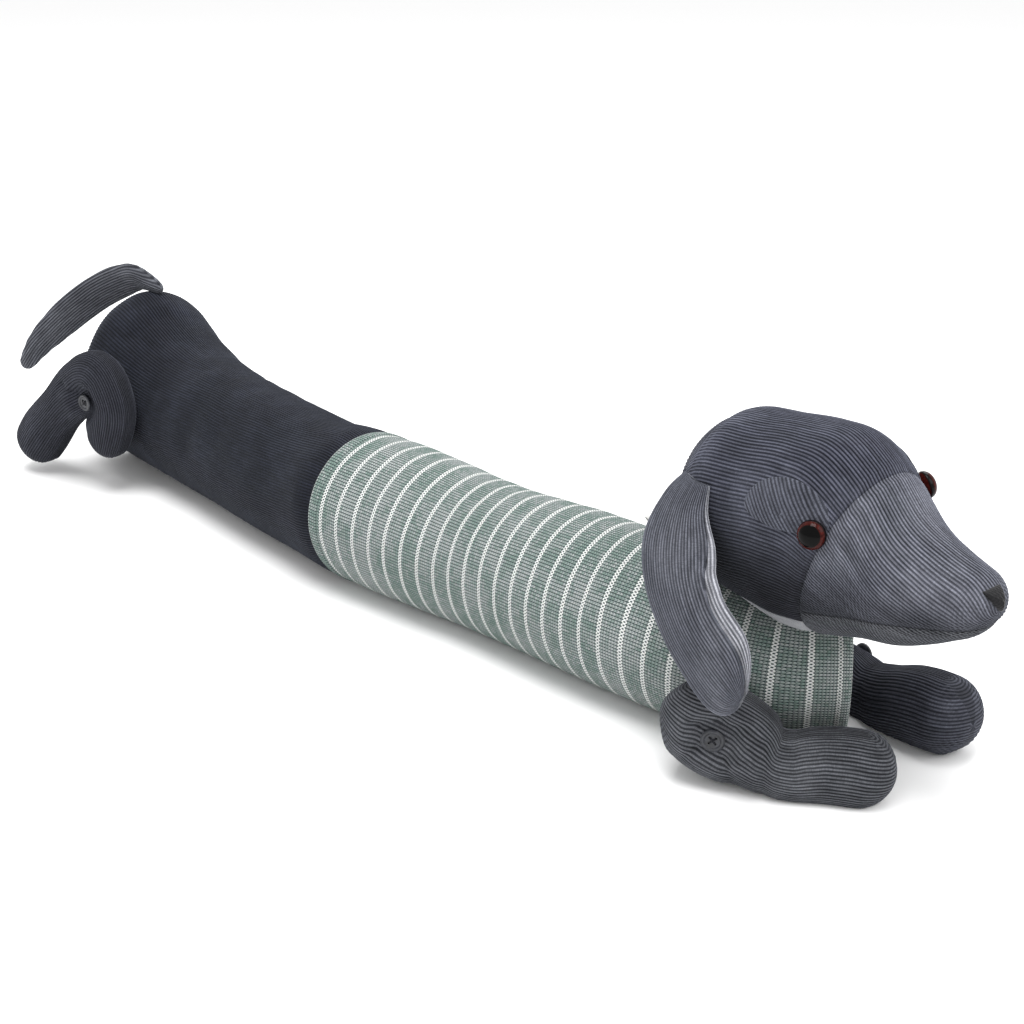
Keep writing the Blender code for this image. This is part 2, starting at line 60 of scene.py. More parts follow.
# Smooth curve through the rows of a table, by distance in millimetres
class Rail:
    def __init__(self, rows, axes=3):
        self.rows = np.array(rows, float)
        steps = np.linalg.norm(np.diff(self.rows[:, :axes], axis=0), axis=1)
        self.marks = np.concatenate([[0], np.cumsum(steps)])
        self.length = self.marks[-1]
        self.slopes = np.gradient(self.rows, self.marks, axis=0)

    def at(self, distance):
        distance = min(max(distance, 0), self.length)
        index = min(int(np.searchsorted(self.marks, distance, side="right")) - 1, len(self.marks) - 2)
        span = self.marks[index + 1] - self.marks[index]
        t = (distance - self.marks[index]) / span
        before = self.rows[index] * (2 * t**3 - 3 * t**2 + 1)
        before += self.slopes[index] * span * (t**3 - 2 * t**2 + t)
        after = self.rows[index + 1] * (3 * t**2 - 2 * t**3) + self.slopes[index + 1] * span * (t**3 - t**2)
        return before + after

    def heading(self, distance, axes=3):
        return Vector((self.at(distance + 1.5) - self.at(distance - 1.5))[:axes]).normalized()


# Distances along a filled piece with rounded ends, each with its share of the full section
def capped(length, startCap, endCap, middle, capSteps):
    stations = []
    for step in range(1, capSteps + 1):
        turn = step / capSteps * pi / 2
        stations.append((startCap * (1 - cos(turn)), sin(turn)))
    for step in range(1, middle):
        stations.append((startCap + (length - startCap - endCap) * step / middle, 1.0))
    for step in range(capSteps, 0, -1):
        turn = step / capSteps * pi / 2
        stations.append((length - endCap * (1 - cos(turn)), sin(turn)))
    return stations


# Mesh from rings of points in millimetres; cloth holds across and along in metres, mark holds a mask
def ringMesh(title, rings, cloth, marks=None, poles=None, wrap=True, loop=False):
    rings = np.array(rings, float)
    cloth = np.array(cloth, float)
    count, around = rings.shape[:2]
    points = rings.reshape(-1, 3) * mm
    last = count if loop else count - 1
    width = around if wrap else around - 1
    faces, uvs = [], []
    for i in range(last):
        for j in range(width):
            i2, j2 = (i + 1) % count, (j + 1) % around
            faces.append((i * around + j, i * around + j2, i2 * around + j2, i2 * around + j))
            uvs += [cloth[i, j], cloth[i, j + 1], cloth[i2, j + 1], cloth[i2, j]]
    points = [tuple(point) for point in points]
    if poles is not None:
        for i, pole in ((0, poles[0]), (count - 1, poles[1])):
            points.append(tuple(np.array(pole, float) * mm))
            for j in range(width):
                faces.append((i * around + j, i * around + (j + 1) % around, len(points) - 1))
                uvs += [cloth[i, j], cloth[i, j + 1], (cloth[i, j] + cloth[i, j + 1]) / 2]
    mesh = bpy.data.meshes.new(title)
    mesh.from_pydata(points, [], faces)
    layer = mesh.uv_layers.new(name="cloth")
    layer.data.foreach_set("uv", np.array(uvs, np.float32).ravel())
    mask = mesh.attributes.new("mark", "FLOAT", "POINT")
    values = np.zeros(len(points), np.float32)
    if marks is not None:
        values[:count * around] = np.array(marks, float).ravel()
    mask.data.foreach_set("value", values)
    bm = bmesh.new()
    bm.from_mesh(mesh)
    bmesh.ops.recalc_face_normals(bm, faces=bm.faces)
    bm.to_mesh(mesh)
    bm.free()
    return mesh


# Ribs raised on a piece's rings: the cloth's across value sways a little and each rib follows it
def raiseWales(rings, cloth, depth, onFloor=False):
    points = np.array([[tuple(point) for point in ring] for ring in rings], float)
    cloth = np.array(cloth, float)
    count, around = points.shape[:2]
    sway = np.array([[0.45 * mm * lumps(point, 24, 7) for point in ring] for ring in points])
    cloth[:, :around, 0] += sway
    cloth[:, around:, 0] += sway[:, :1]
    normal = np.cross(np.roll(points, -1, 1) - np.roll(points, 1, 1), np.gradient(points, axis=0))
    normal /= np.maximum(np.linalg.norm(normal, axis=2, keepdims=True), 1e-9)
    outward = np.sum(normal * (points - points.mean(axis=1, keepdims=True)), axis=2, keepdims=True)
    normal = np.where(outward < 0, -normal, normal)
    rib = 0.5 + 0.5 * np.cos(2 * pi * cloth[:, :around, 0] / walePitch)
    ends = np.arange(count)
    fade = np.clip(np.minimum(ends, count - 1 - ends) / 3, 0, 1)[:, None]
    points += normal * (depth * fade * (rib - 0.7))[..., None]
    if onFloor:
        points[..., 2] = np.maximum(points[..., 2], 0)
    return points, cloth


# Place in millimetres and turns in degrees, as a matrix in metres
def poseOf(spec):
    turned = Euler([radians(turn) for turn in spec["turns"]]).to_matrix().to_4x4()
    return Matrix.Translation(Vector(spec["place"]) * mm) @ turned


def addPiece(title, mesh, material, nodes, matrix=None):
    mesh.materials.clear()
    mesh.materials.append(material)
    mesh.polygons.foreach_set("use_smooth", [True] * len(mesh.polygons))
    piece = bpy.data.objects.new(title, mesh)
    scene.collection.objects.link(piece)
    piece.matrix_world = matrix if matrix else Matrix.Translation(origin * mm)
    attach(piece, "root")
    if nodes:
        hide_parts(*nodes)
    return piece


# Shader groups for the cloths

def newGroup(title, inputs, outputs):
    group = bpy.data.node_groups.new(title, "ShaderNodeTree")
    for name, kind, value in inputs:
        socket = group.interface.new_socket(name=name, in_out="INPUT", socket_type="NodeSocket" + kind)
        socket.default_value = value
    for name, kind in outputs:
        group.interface.new_socket(name=name, in_out="OUTPUT", socket_type="NodeSocket" + kind)
    return group, group.nodes.new("NodeGroupInput"), group.nodes.new("NodeGroupOutput")


class Wiring:  # short calls for a node tree
    def __init__(self, tree):
        self.tree = tree

    def put(self, socket, value):
        if isinstance(value, bpy.types.NodeSocket):
            self.tree.links.new(value, socket)
        else:
            socket.default_value = value

    def math(self, operation, first, second=0.0, third=0.0):
        node = self.tree.nodes.new("ShaderNodeMath")
        node.operation = operation
        for socket, value in zip(node.inputs, (first, second, third)):
            self.put(socket, value)
        return node.outputs[0]

    def mix(self, factor, first, second, blend="MIX"):
        node = self.tree.nodes.new("ShaderNodeMix")
        node.data_type = "RGBA"
        node.blend_type = blend
        self.put(node.inputs["Factor"], factor)
        self.put(node.inputs[6], first)
        self.put(node.inputs[7], second)
        return node.outputs[2]

    def mixValue(self, factor, first, second):
        node = self.tree.nodes.new("ShaderNodeMix")
        for socket, item in zip(node.inputs[0:1] + node.inputs[2:4], (factor, first, second)):
            self.put(socket, item)
        return node.outputs[0]

    def spread(self, value, low, high, newLow=0.0, newHigh=1.0):
        node = self.tree.nodes.new("ShaderNodeMapRange")
        node.interpolation_type = "SMOOTHSTEP"
        for socket, item in zip(node.inputs, (value, low, high, newLow, newHigh)):
            self.put(socket, item)
        return node.outputs[0]

    def noise(self, vector, scale, detail=2.0, rough=0.5):
        node = self.tree.nodes.new("ShaderNodeTexNoise")
        self.put(node.inputs["Vector"], vector)
        node.inputs["Scale"].default_value = scale
        node.inputs["Detail"].default_value = detail
        node.inputs["Roughness"].default_value = rough
        return node.outputs["Fac"]


def buildCordGroup():
    group, given, result = newGroup("corduroyWales", [
        ("Across", "Float", 0.0), ("Along", "Float", 0.0), ("Mark", "Float", 0.0),
        ("Pitch", "Float", walePitch),
        ("Rib Colour", "Color", (0.1, 0.1, 0.12, 1)), ("Groove Colour", "Color", (0.02, 0.02, 0.03, 1)),
        ("Brushed Colour", "Color", (0.2, 0.2, 0.22, 1)), ("Brushed Amount", "Float", 0.35),
        # the last three inputs paint shade lower down on the piece: where it is darkest, where it ends, how
        # dark
        ("Painted Shade Low", "Float", -1.0), ("Painted Shade High", "Float", -0.5), ("Painted Shade Dark", "Float", 0.5)],
        [("Colour", "Color"), ("Height", "Float"), ("Roughness", "Float")])
    w = Wiring(group)
    place = group.nodes.new("ShaderNodeTexCoord").outputs["Object"]
    phase = w.math("DIVIDE", given.outputs["Across"], given.outputs["Pitch"])
    wave = w.math("MULTIPLY_ADD", w.math("COSINE", w.math("MULTIPLY", phase, 2 * pi)), 0.5, 0.5)
    rib = w.spread(wave, 0.15, 0.85)
    ribNumber = w.math("FLOOR", w.math("ADD", phase, 0.5))
    threads = group.nodes.new("ShaderNodeCombineXYZ")  # the pile's short ticks across each rib
    w.put(threads.inputs[0], w.math("MULTIPLY", ribNumber, 7.31))
    w.put(threads.inputs[1], w.math("MULTIPLY", given.outputs["Along"], 1500.0))
    ticks = w.noise(threads.outputs[0], 1.0, 1.0)
    pile = w.noise(place, 2600.0, 2.0, 0.7)
    napAndShade = w.spread(w.noise(place, 26.0, 3.0, 0.55), 0.38, 0.72)
    drawn = group.nodes.new("ShaderNodeCombineXYZ")  # streaks where the pile is rubbed along the ribs
    w.put(drawn.inputs[0], w.math("MULTIPLY", given.outputs["Across"], 330.0))
    w.put(drawn.inputs[1], w.math("MULTIPLY", given.outputs["Along"], 46.0))
    streaks = w.spread(w.noise(drawn.outputs[0], 1.0, 3.0, 0.6), 0.32, 0.68, 0.72, 1.28)
    colour = w.mix(rib, given.outputs["Groove Colour"], given.outputs["Rib Colour"])
    brushed = w.math("MULTIPLY", napAndShade, given.outputs["Brushed Amount"])
    brushed = w.math("MULTIPLY", brushed, w.spread(rib, 0.0, 1.0, 0.35, 1.0))
    colour = w.mix(brushed, colour, given.outputs["Brushed Colour"])
    shade = w.spread(ticks, 0.3, 0.7, 0.82, 1.14)
    flecks = w.math("MULTIPLY", w.math("MULTIPLY", shade, w.spread(pile, 0.3, 0.7, 0.74, 1.22)), streaks)
    seam = w.math("MULTIPLY", w.math("MAXIMUM", given.outputs["Mark"], 0.0), 0.75)
    tint = group.nodes.new("ShaderNodeCombineColor")
    for k in range(3):
        w.put(tint.inputs[k], w.math("MULTIPLY", flecks, w.math("SUBTRACT", 1.0, seam)))
    colour = w.mix(1.0, colour, tint.outputs[0], "MULTIPLY")
    height = w.math("ADD", w.math("MULTIPLY", rib, 0.8), w.math("MULTIPLY", pile, 0.14))
    height = w.math("ADD", height, w.math("MULTIPLY", w.math("MULTIPLY", ticks, rib), 0.14))
    heightOf = group.nodes.new("ShaderNodeSeparateXYZ")  # painted shade: lower down the piece the colour is darker, by the object's height
    w.put(heightOf.inputs[0], place)
    level = w.math("MULTIPLY_ADD", w.math("SUBTRACT", w.noise(place, 30.0), 0.5), 0.02, heightOf.outputs[2])
    paintedShadeDark = given.outputs["Painted Shade Dark"]
    paintedShade = w.spread(level, given.outputs["Painted Shade Low"], given.outputs["Painted Shade High"], paintedShadeDark, 1.0)
    paintedShadeTint = group.nodes.new("ShaderNodeCombineColor")
    for k in range(3):
        w.put(paintedShadeTint.inputs[k], paintedShade)
    colour = w.mix(1.0, colour, paintedShadeTint.outputs[0], "MULTIPLY")
    w.put(result.inputs["Colour"], colour)
    w.put(result.inputs["Height"], height)
    w.put(result.inputs["Roughness"], w.spread(rib, 0.0, 1.0, 0.98, 0.86))
    return group


def buildKnitGroup():
    group, given, result = newGroup("knitStitches", [
        ("Across", "Float", 0.0), ("Along", "Float", 0.0), ("Mark", "Float", 0.0),
        ("Stitch Width", "Float", 0.00215), ("Course", "Float", 0.0018), ("Stripe Every", "Float", 8.0),
        ("Stripe Courses", "Float", 1.75), ("Stripe Shift", "Float", 0.0),
        ("Yarn Colour", "Color", (0.3, 0.36, 0.33, 1)), ("Fleck Colour", "Color", (0.2, 0.3, 0.27, 1)),
        ("Stripe Colour", "Color", (0.8, 0.8, 0.77, 1)), ("Gap Colour", "Color", (0.05, 0.07, 0.07, 1))],
        [("Colour", "Color"), ("Height", "Float"), ("Roughness", "Float")])
    w = Wiring(group)
    place = group.nodes.new("ShaderNodeTexCoord").outputs["Object"]
    column = w.math("DIVIDE", given.outputs["Across"], given.outputs["Stitch Width"])
    side = w.math("MULTIPLY", w.math("ABSOLUTE", w.math("SUBTRACT", w.math("FRACT", column), 0.5)), 2.0)
    row = w.math("DIVIDE", given.outputs["Along"], given.outputs["Course"])
    slanted = w.math("ADD", row, w.math("MULTIPLY", side, 0.62))  # the two legs of each stitch lean away
    course = w.math("FLOOR", slanted)
    leg = w.math("SINE", w.math("MULTIPLY", w.math("FRACT", slanted), pi))
    strand = w.math("MULTIPLY", w.spread(side, 1.0, 0.45), w.spread(side, 0.0, 0.3, 0.7, 1.0))
    loopHeight = w.math("MULTIPLY", w.math("POWER", w.math("MAXIMUM", leg, 0.0), 0.6), strand)
    cell = group.nodes.new("ShaderNodeCombineXYZ")
    w.put(cell.inputs[0], w.math("MULTIPLY", w.math("FLOOR", column), 3.7))
    w.put(cell.inputs[1], w.math("MULTIPLY", course, 2.3))
    fleck = w.noise(cell.outputs[0], 1.0, 1.0)
    shifted = w.math("ADD", row, given.outputs["Stripe Shift"])
    inRepeat = w.math("FLOORED_MODULO", shifted, given.outputs["Stripe Every"])
    stripe = w.math("LESS_THAN", inRepeat, given.outputs["Stripe Courses"])
    acrossRing = w.math("SUBTRACT", w.math("FRACT", column), 0.5)  # a white stripe is a chain of loops
    alongRing = w.math("SUBTRACT", w.math("DIVIDE", inRepeat, given.outputs["Stripe Courses"]), 0.5)
    acrossSquare = w.math("MULTIPLY", acrossRing, acrossRing)
    alongSquare = w.math("MULTIPLY", alongRing, alongRing)
    fromMiddle = w.math("SQRT", w.math("ADD", acrossSquare, alongSquare))
    ring = w.spread(w.math("ABSOLUTE", w.math("SUBTRACT", fromMiddle, 0.36)), 0.2, 0.07)
    loopHeight = w.mixValue(stripe, loopHeight, ring)
    clouds = w.noise(place, 38.0, 3.0, 0.6)
    marl = w.math("ADD", w.math("MULTIPLY", fleck, 0.5), w.math("MULTIPLY", clouds, 0.5))
    yarn = w.mix(w.spread(marl, 0.4, 0.62), given.outputs["Yarn Colour"], given.outputs["Fleck Colour"])
    yarn = w.mix(stripe, yarn, given.outputs["Stripe Colour"])
    yarn = w.mix(w.math("MAXIMUM", given.outputs["Mark"], 0.0), yarn, given.outputs["Stripe Colour"])
    depth = w.spread(loopHeight, 0.15, 0.75)
    colour = w.mix(depth, given.outputs["Gap Colour"], yarn)
    fuzz = w.noise(place, 3000.0, 2.0, 0.7)
    tint = group.nodes.new("ShaderNodeCombineColor")
    for k in range(3):
        w.put(tint.inputs[k], w.spread(fuzz, 0.3, 0.7, 0.86, 1.1))
    colour = w.mix(1.0, colour, tint.outputs[0], "MULTIPLY")
    w.put(result.inputs["Colour"], colour)
    raised = w.math("ADD", loopHeight, w.math("MULTIPLY", stripe, 0.5))
    w.put(result.inputs["Height"], w.math("ADD", raised, w.math("MULTIPLY", fuzz, 0.12)))
    w.put(result.inputs["Roughness"], w.spread(loopHeight, 0.0, 1.0, 1.0, 0.88))
    return group


def buildPlainGroup():
    group, given, result = newGroup("plainWeave", [
        ("Across", "Float", 0.0), ("Along", "Float", 0.0), ("Thread", "Float", 0.0006),
        ("Cloth Colour", "Color", (0.4, 0.4, 0.42, 1)), ("Shade Colour", "Color", (0.3, 0.3, 0.32, 1))],
        [("Colour", "Color"), ("Height", "Float")])
    w = Wiring(group)
    place = group.nodes.new("ShaderNodeTexCoord").outputs["Object"]
    waves = []
    for way in ("Across", "Along"):
        turn = w.math("DIVIDE", given.outputs[way], given.outputs["Thread"])
        waves.append(w.math("SINE", w.math("MULTIPLY", turn, pi)))
    weave = w.math("MULTIPLY_ADD", w.math("MULTIPLY", waves[0], waves[1]), 0.5, 0.5)
    slubs = w.noise(place, 300.0, 3.0)
    amount = w.math("ADD", w.math("MULTIPLY", weave, 0.4), w.math("MULTIPLY", slubs, 0.6))
    shade, cloth = given.outputs["Shade Colour"], given.outputs["Cloth Colour"]
    w.put(result.inputs["Colour"], w.mix(w.spread(amount, 0.3, 0.7), shade, cloth))
    w.put(result.inputs["Height"], w.math("ADD", weave, w.math("MULTIPLY", slubs, 0.6)))
    return group


cordGroup = buildCordGroup()
knitGroup = buildKnitGroup()
plainGroup = buildPlainGroup()


def newMaterial(title, group, values, bumpDepth, sheen, sheenTint, rough=0.9):
    material = bpy.data.materials.new(title)
    material.use_nodes = True
    tree = material.node_tree
    shader = tree.nodes["Principled BSDF"]
    shader.inputs["Roughness"].default_value = rough
    shader.inputs["Sheen Weight"].default_value = sheen
    shader.inputs["Sheen Roughness"].default_value = 0.45
    shader.inputs["Sheen Tint"].default_value = (*sheenTint, 1)
    shader.inputs["Specular IOR Level"].default_value = 0.2
    cloth = tree.nodes.new("ShaderNodeUVMap")
    cloth.uv_map = "cloth"
    parts = tree.nodes.new("ShaderNodeSeparateXYZ")
    tree.links.new(cloth.outputs[0], parts.inputs[0])
    node = tree.nodes.new("ShaderNodeGroup")
    node.node_tree = group
    tree.links.new(parts.outputs[0], node.inputs["Across"])
    tree.links.new(parts.outputs[1], node.inputs["Along"])
    if "Mark" in node.inputs:
        mark = tree.nodes.new("ShaderNodeAttribute")
        mark.attribute_name = "mark"
        tree.links.new(mark.outputs["Fac"], node.inputs["Mark"])
    for name, value in values.items():
        node.inputs[name].default_value = (*value, 1) if isinstance(value, tuple) else value
    tree.links.new(node.outputs["Colour"], shader.inputs["Base Color"])
    if "Roughness" in node.outputs:
        tree.links.new(node.outputs["Roughness"], shader.inputs["Roughness"])
    bump = tree.nodes.new("ShaderNodeBump")
    bump.inputs["Strength"].default_value = 1.0
    bump.inputs["Distance"].default_value = bumpDepth
    tree.links.new(node.outputs["Height"], bump.inputs["Height"])
    tree.links.new(bump.outputs[0], shader.inputs["Normal"])
    return material


# Colours of the rib's top, the groove and the brushed pile; an extra entry paints shade lower down on the
# piece: the height where it is darkest, the height where it ends and how dark
cordTones = {
    "navyCord": {"rib": (0.0065, 0.0078, 0.014), "groove": (0.0015, 0.002, 0.004),
                 "brushed": (0.021, 0.024, 0.036)},
    "legCord": {"rib": (0.024, 0.025, 0.034), "groove": (0.006, 0.0065, 0.010),
                "brushed": (0.052, 0.055, 0.070)},
    "farCord": {"rib": (0.044, 0.046, 0.060), "groove": (0.010, 0.011, 0.016),
                "brushed": (0.088, 0.092, 0.114)},
    # painted shade darkens the crown panel's cheeks, lower down
    "skullCord": {"rib": (0.056, 0.059, 0.080), "groove": (0.010, 0.011, 0.018),
                  "brushed": (0.118, 0.124, 0.158), "napAndShade": (-0.030, 0.034, 0.25)},
    "browCord": {"rib": (0.062, 0.066, 0.085), "groove": (0.014, 0.015, 0.021),
                 "brushed": (0.112, 0.118, 0.146)},
    "slateCord": {"rib": (0.078, 0.081, 0.091), "groove": (0.012, 0.013, 0.016),
                  "brushed": (0.150, 0.156, 0.172)},
    # painted shade darkens the muzzle's lower side
    "paleCord": {"rib": (0.104, 0.108, 0.134), "groove": (0.022, 0.024, 0.031),
                 "brushed": (0.185, 0.190, 0.225), "napAndShade": (-0.034, 0.002, 0.22)},
    # the jaw is the muzzle's pale cord, made darker as painted shade under the muzzle
    "shadedJawCord": {"rib": (0.076, 0.079, 0.087), "groove": (0.016, 0.017, 0.020),
                "brushed": (0.125, 0.129, 0.140)},
    "earCord": {"rib": (0.092, 0.096, 0.118), "groove": (0.026, 0.028, 0.036),
                "brushed": (0.160, 0.166, 0.194)},
    "tailCord": {"rib": (0.084, 0.088, 0.102), "groove": (0.020, 0.021, 0.027),
                 "brushed": (0.140, 0.145, 0.164)},
    "edgeCord": {"rib": (0.330, 0.335, 0.370), "groove": (0.100, 0.103, 0.120),
                 "brushed": (0.430, 0.435, 0.470)},
}
cordFinish = {"noPaintedShade": (-1.0, -0.5, 0.5), "brushedAmount": 0.55, "bumpDepth": 0.0005, "sheen": 0.12,
              "sheenTint": (0.55, 0.6, 0.72)}
cords = {}
for title, tone in cordTones.items():
    # painted shade lower down where a tone gives it; the other tones keep their colour
    paintedShadeLow, paintedShadeHigh, paintedShadeDark = tone.get("napAndShade", cordFinish["noPaintedShade"])
    cords[title] = newMaterial(title, cordGroup, {
        "Painted Shade Low": paintedShadeLow, "Painted Shade High": paintedShadeHigh, "Painted Shade Dark": paintedShadeDark,
        "Rib Colour": tone["rib"], "Groove Colour": tone["groove"], "Brushed Colour": tone["brushed"],
        "Brushed Amount": cordFinish["brushedAmount"]},
        cordFinish["bumpDepth"], cordFinish["sheen"], cordFinish["sheenTint"])
knitMaterial = newMaterial("stripedKnit", knitGroup, {
    "Yarn Colour": (0.460, 0.495, 0.490), "Fleck Colour": (0.230, 0.320, 0.285),
    "Stripe Colour": (0.80, 0.82, 0.80), "Gap Colour": (0.040, 0.062, 0.060)}, 0.0010, 0.05, (0.8, 0.85, 0.82))
plainMaterial = newMaterial("paleCotton", plainGroup, {
    "Cloth Colour": (0.300, 0.305, 0.320), "Shade Colour": (0.225, 0.230, 0.245)},
    0.0001, 0.2, (0.8, 0.8, 0.85))
# the head's back panel: the base's grey cotton, darkened as painted shade
shadedBackMaterial = newMaterial("shadedGreyCotton", plainGroup, {
    "Cloth Colour": (0.055, 0.057, 0.072), "Shade Colour": (0.034, 0.036, 0.048)},
    0.0001, 0.05, (0.8, 0.8, 0.85))
labelMaterial = newMaterial("labelTape", plainGroup, {
    "Cloth Colour": (0.62, 0.62, 0.60), "Shade Colour": (0.45, 0.45, 0.44)}, 0.0001, 0.1, (1, 1, 1))


# Body tube

bodyPiece = {
    # centre x, y, z, half width, half height
    "table": [(-487, 38, 66, 62, 66), (-468, 36, 66, 64, 66), (-430, 31, 60, 60, 60),
              (-390, 27, 55.5, 57, 55.5), (-345, 22, 52.5, 54, 52.5), (-300, 17, 51.5, 52, 51.5),
              (-240, 10, 50, 51, 50),
              (-180, 5, 50.5, 51, 50.5), (-120, 0, 53, 53, 53), (-60, 3, 51.5, 51, 51.5), (0, 8, 49, 49, 49),
              (60, 10, 50, 50, 50), (110, 11, 50.5, 50.5, 50.5), (150, 13, 50.5, 50, 50.5),
              (185, 19, 48, 50, 48), (216, 32, 46.5, 49, 46), (244, 54, 46.5, 46, 43.5)],
    "rumpCap": 30, "rumpPeak": 12, "peakPlace": 30, "peakReach": 44, "chestCap": 26, "floorPress": 3.5,
    "around": 628, "girth": 0.330, "slant": 0.05,
    "rearTuck": (353, 364), "frontTuck": (745, 755), "tuckDepth": 3.5,
    # faint creases across the back: distance, width, depth, lean
    "creases": [(98, 9, 0.9, 12), (176, 8, 1.1, -16), (205, 7, 0.9, -22), (250, 10, 0.8, 14),
                (318, 8, 0.9, -9)],
}
bodyRail = Rail(bodyPiece["table"])


def tubeRing(distance, share, inset, around, floorLift, swell=None):
    row = bodyRail.at(distance)
    ahead = bodyRail.heading(distance)
    across = Vector((-ahead.y, ahead.x, 0)).normalized()
    upward = ahead.cross(across)
    if upward.z < 0:
        upward.negate()
    centre = Vector(row[:3])
    rise = bodyPiece["rumpPeak"] * exp(-((distance - bodyPiece["peakPlace"]) / bodyPiece["peakReach"]) ** 2)
    ring = []
    for k in range(around):
        turn = -pi / 2 + 2 * pi * k / around
        sag = bodyPiece["floorPress"] if sin(turn) < 0 else 0
        wide = across * (row[3] - inset) * share * cos(turn)
        high = (row[4] - inset + sag * abs(sin(turn))) * share * sin(turn)
        high += rise * sqrt(share) * max(sin(turn), 0) ** 2
        point = centre + wide + upward * high
        if swell:
            outward = (across * cos(turn) + upward * sin(turn)).normalized()
            point += outward * swell(point, distance, turn)
        point.z = max(point.z, floorLift)
        ring.append(point)
    return ring


def tubeCloth(distances, around, girth, slant):
    turns = np.arange(around + 1) / around * girth
    return [[(u + slant * d * mm, d * mm) for u in turns] for d in distances]


def bodySwell(point, distance, turn):
    upper = smooth(-0.9, 0.2, sin(turn))
    push = 1.5 * lumps(point, 55) + 0.7 * lumps(point, 20, 9)
    for spot, width, depth, lean in bodyPiece["creases"]:
        away = (distance - spot - lean * cos(turn * 1.3)) / width
        push -= depth * exp(-away ** 2) * (0.4 + 0.6 * lumps(point, 40, spot))
    return push * upper


def buildBody():
    length = bodyRail.length
    stations = capped(length, bodyPiece["rumpCap"], bodyPiece["chestCap"], 120, 14)
    rings, kept = [], []
    for distance, share in stations:
        under = min(smooth(*bodyPiece["rearTuck"], distance), 1 - smooth(*bodyPiece["frontTuck"], distance))
        tuck = under * bodyPiece["tuckDepth"]
        swell = bodySwell if tuck < 0.5 else None
        rings.append(tubeRing(distance, share, tuck, bodyPiece["around"], tuck, swell))
        kept.append(distance)
    poles = [Vector(bodyRail.at(end)[:3]) for end in (0, length)]
    cloth = tubeCloth(kept, bodyPiece["around"], bodyPiece["girth"], bodyPiece["slant"])
    rings, cloth = raiseWales(rings, cloth, waleDepth, True)
    return ringMesh("body", rings, cloth, None, poles)


# Jumper

jumperPiece = {
    "start": 364, "end": 744, "thickness": 2.4, "hemDepth": 9, "hemExtra": 0.7, "around": 144, "step": 2.6,
    "rearHalf": 500,  # up to here the nearest hem is the rear one, with its paler edge
}


def jumperSwell(point, distance, turn):
    upper = smooth(-0.9, 0.1, sin(turn))
    start, end = jumperPiece["start"], jumperPiece["end"]
    ease = smooth(start, start + 10, distance) * smooth(0, 10, end - distance)
    return (0.9 * lumps(point, 50, 3) + 0.4 * lumps(point, 17, 5)) * upper * ease


def buildJumper():
    start, end = jumperPiece["start"], jumperPiece["end"]
    hem, full = jumperPiece["hemDepth"], jumperPiece["thickness"] + jumperPiece["hemExtra"]
    marks = [start + step for step in (0, 0.4, 1.1, 2.2, 4, 6, hem - 1.2, hem - 0.4, hem + 0.3, hem + 1.4)]
    marks += list(np.arange(start + hem + 3, end - hem - 2, jumperPiece["step"]))
    marks += [end + start - mark for mark in reversed(marks[:10])]
    rings, cloth, mask = [], [], []
    for mark in marks:
        edge = min(mark - start, end - mark)
        roll = 1.3 * (1 - smooth(0, 1.6, edge))
        drawn = roll + (jumperPiece["hemExtra"] + 0.5) * exp(-((edge - hem) / 0.7) ** 2)
        beyond = smooth(hem - 0.5, hem + 1.5, edge) * (1 - smooth(hem + 6, hem + 30, edge))
        drawn += jumperPiece["hemExtra"] * beyond
        rings.append(tubeRing(mark, 1, drawn, jumperPiece["around"], 0, jumperSwell))
        cloth.append(mark * mm)
        rearEdge, frontEdge = 0.75 * (1 - smooth(1.2, 2.0, edge)), 0.35 * (1 - smooth(0.8, 1.6, edge))
        pale = rearEdge if mark < jumperPiece["rearHalf"] else frontEdge
        mask.append([pale] * jumperPiece["around"])
    for mark in marks[::-1]:
        edge = min(mark - start, end - mark)
        rings.append(tubeRing(mark, 1, full - 1.0 * (1 - smooth(0, 1.2, edge)), jumperPiece["around"], full))
        cloth.append(mark * mm)
        mask.append([0] * jumperPiece["around"])
    turns = np.arange(jumperPiece["around"] + 1) / jumperPiece["around"] * bodyPiece["girth"]
    cloth = [[(u, v) for u in turns] for v in cloth]
    return ringMesh("jumper", rings, cloth, mask, None, True, True)


# Head, one form cut at its seams

headPiece = {
    # x, centre height, half width, up, down
    "table": [(-68, 0, 46, 44, 46), (-42, 0, 48, 48.5, 53), (-10, 0, 49, 53, 60), (20, 2, 49, 55, 65),
              (42, 3, 46, 53.5, 62), (62, -1, 39, 45.5, 52), (85, -9, 32, 29.5, 39), (105, -10, 26, 21, 29.5),
              (122, -10, 21, 16.5, 20), (137, -10, 17, 13, 13)],
    "centre": (345.9, -30.31, 146.0), "yaw": -6.8, "roll": 4.5, "capBack": 40, "capNose": 15, "around": 560,
    "backSeam": ((-52, 0, 0), (-1, 0, 0.2)), "baseSeam": ((0, 0, -47), (0.08, 0, -1)),
    "muzzleSeam": ((52, 0, 0), (1, 0, -0.35)), "mouthSeam": ((52, 0, -33), (0.17, 0, -1)),
    "seamDepth": 1.3, "seamWidth": 2.2,
}
headRail = Rail([(x, 0, z, w, u, d) for x, z, w, u, d in headPiece["table"]], 1)
headPlace = Matrix.Translation(Vector(headPiece["centre"]) * mm)
headPlace = headPlace @ Matrix.Rotation(radians(headPiece["yaw"]), 4, "Z")
headPlace = headPlace @ Matrix.Rotation(radians(headPiece["roll"]), 4, "X")


def seamReach(point, seam):  # signed distance from a seam plane
    spot, way = headPiece[seam]
    return (Vector(point) - Vector(spot)).dot(Vector(way).normalized())


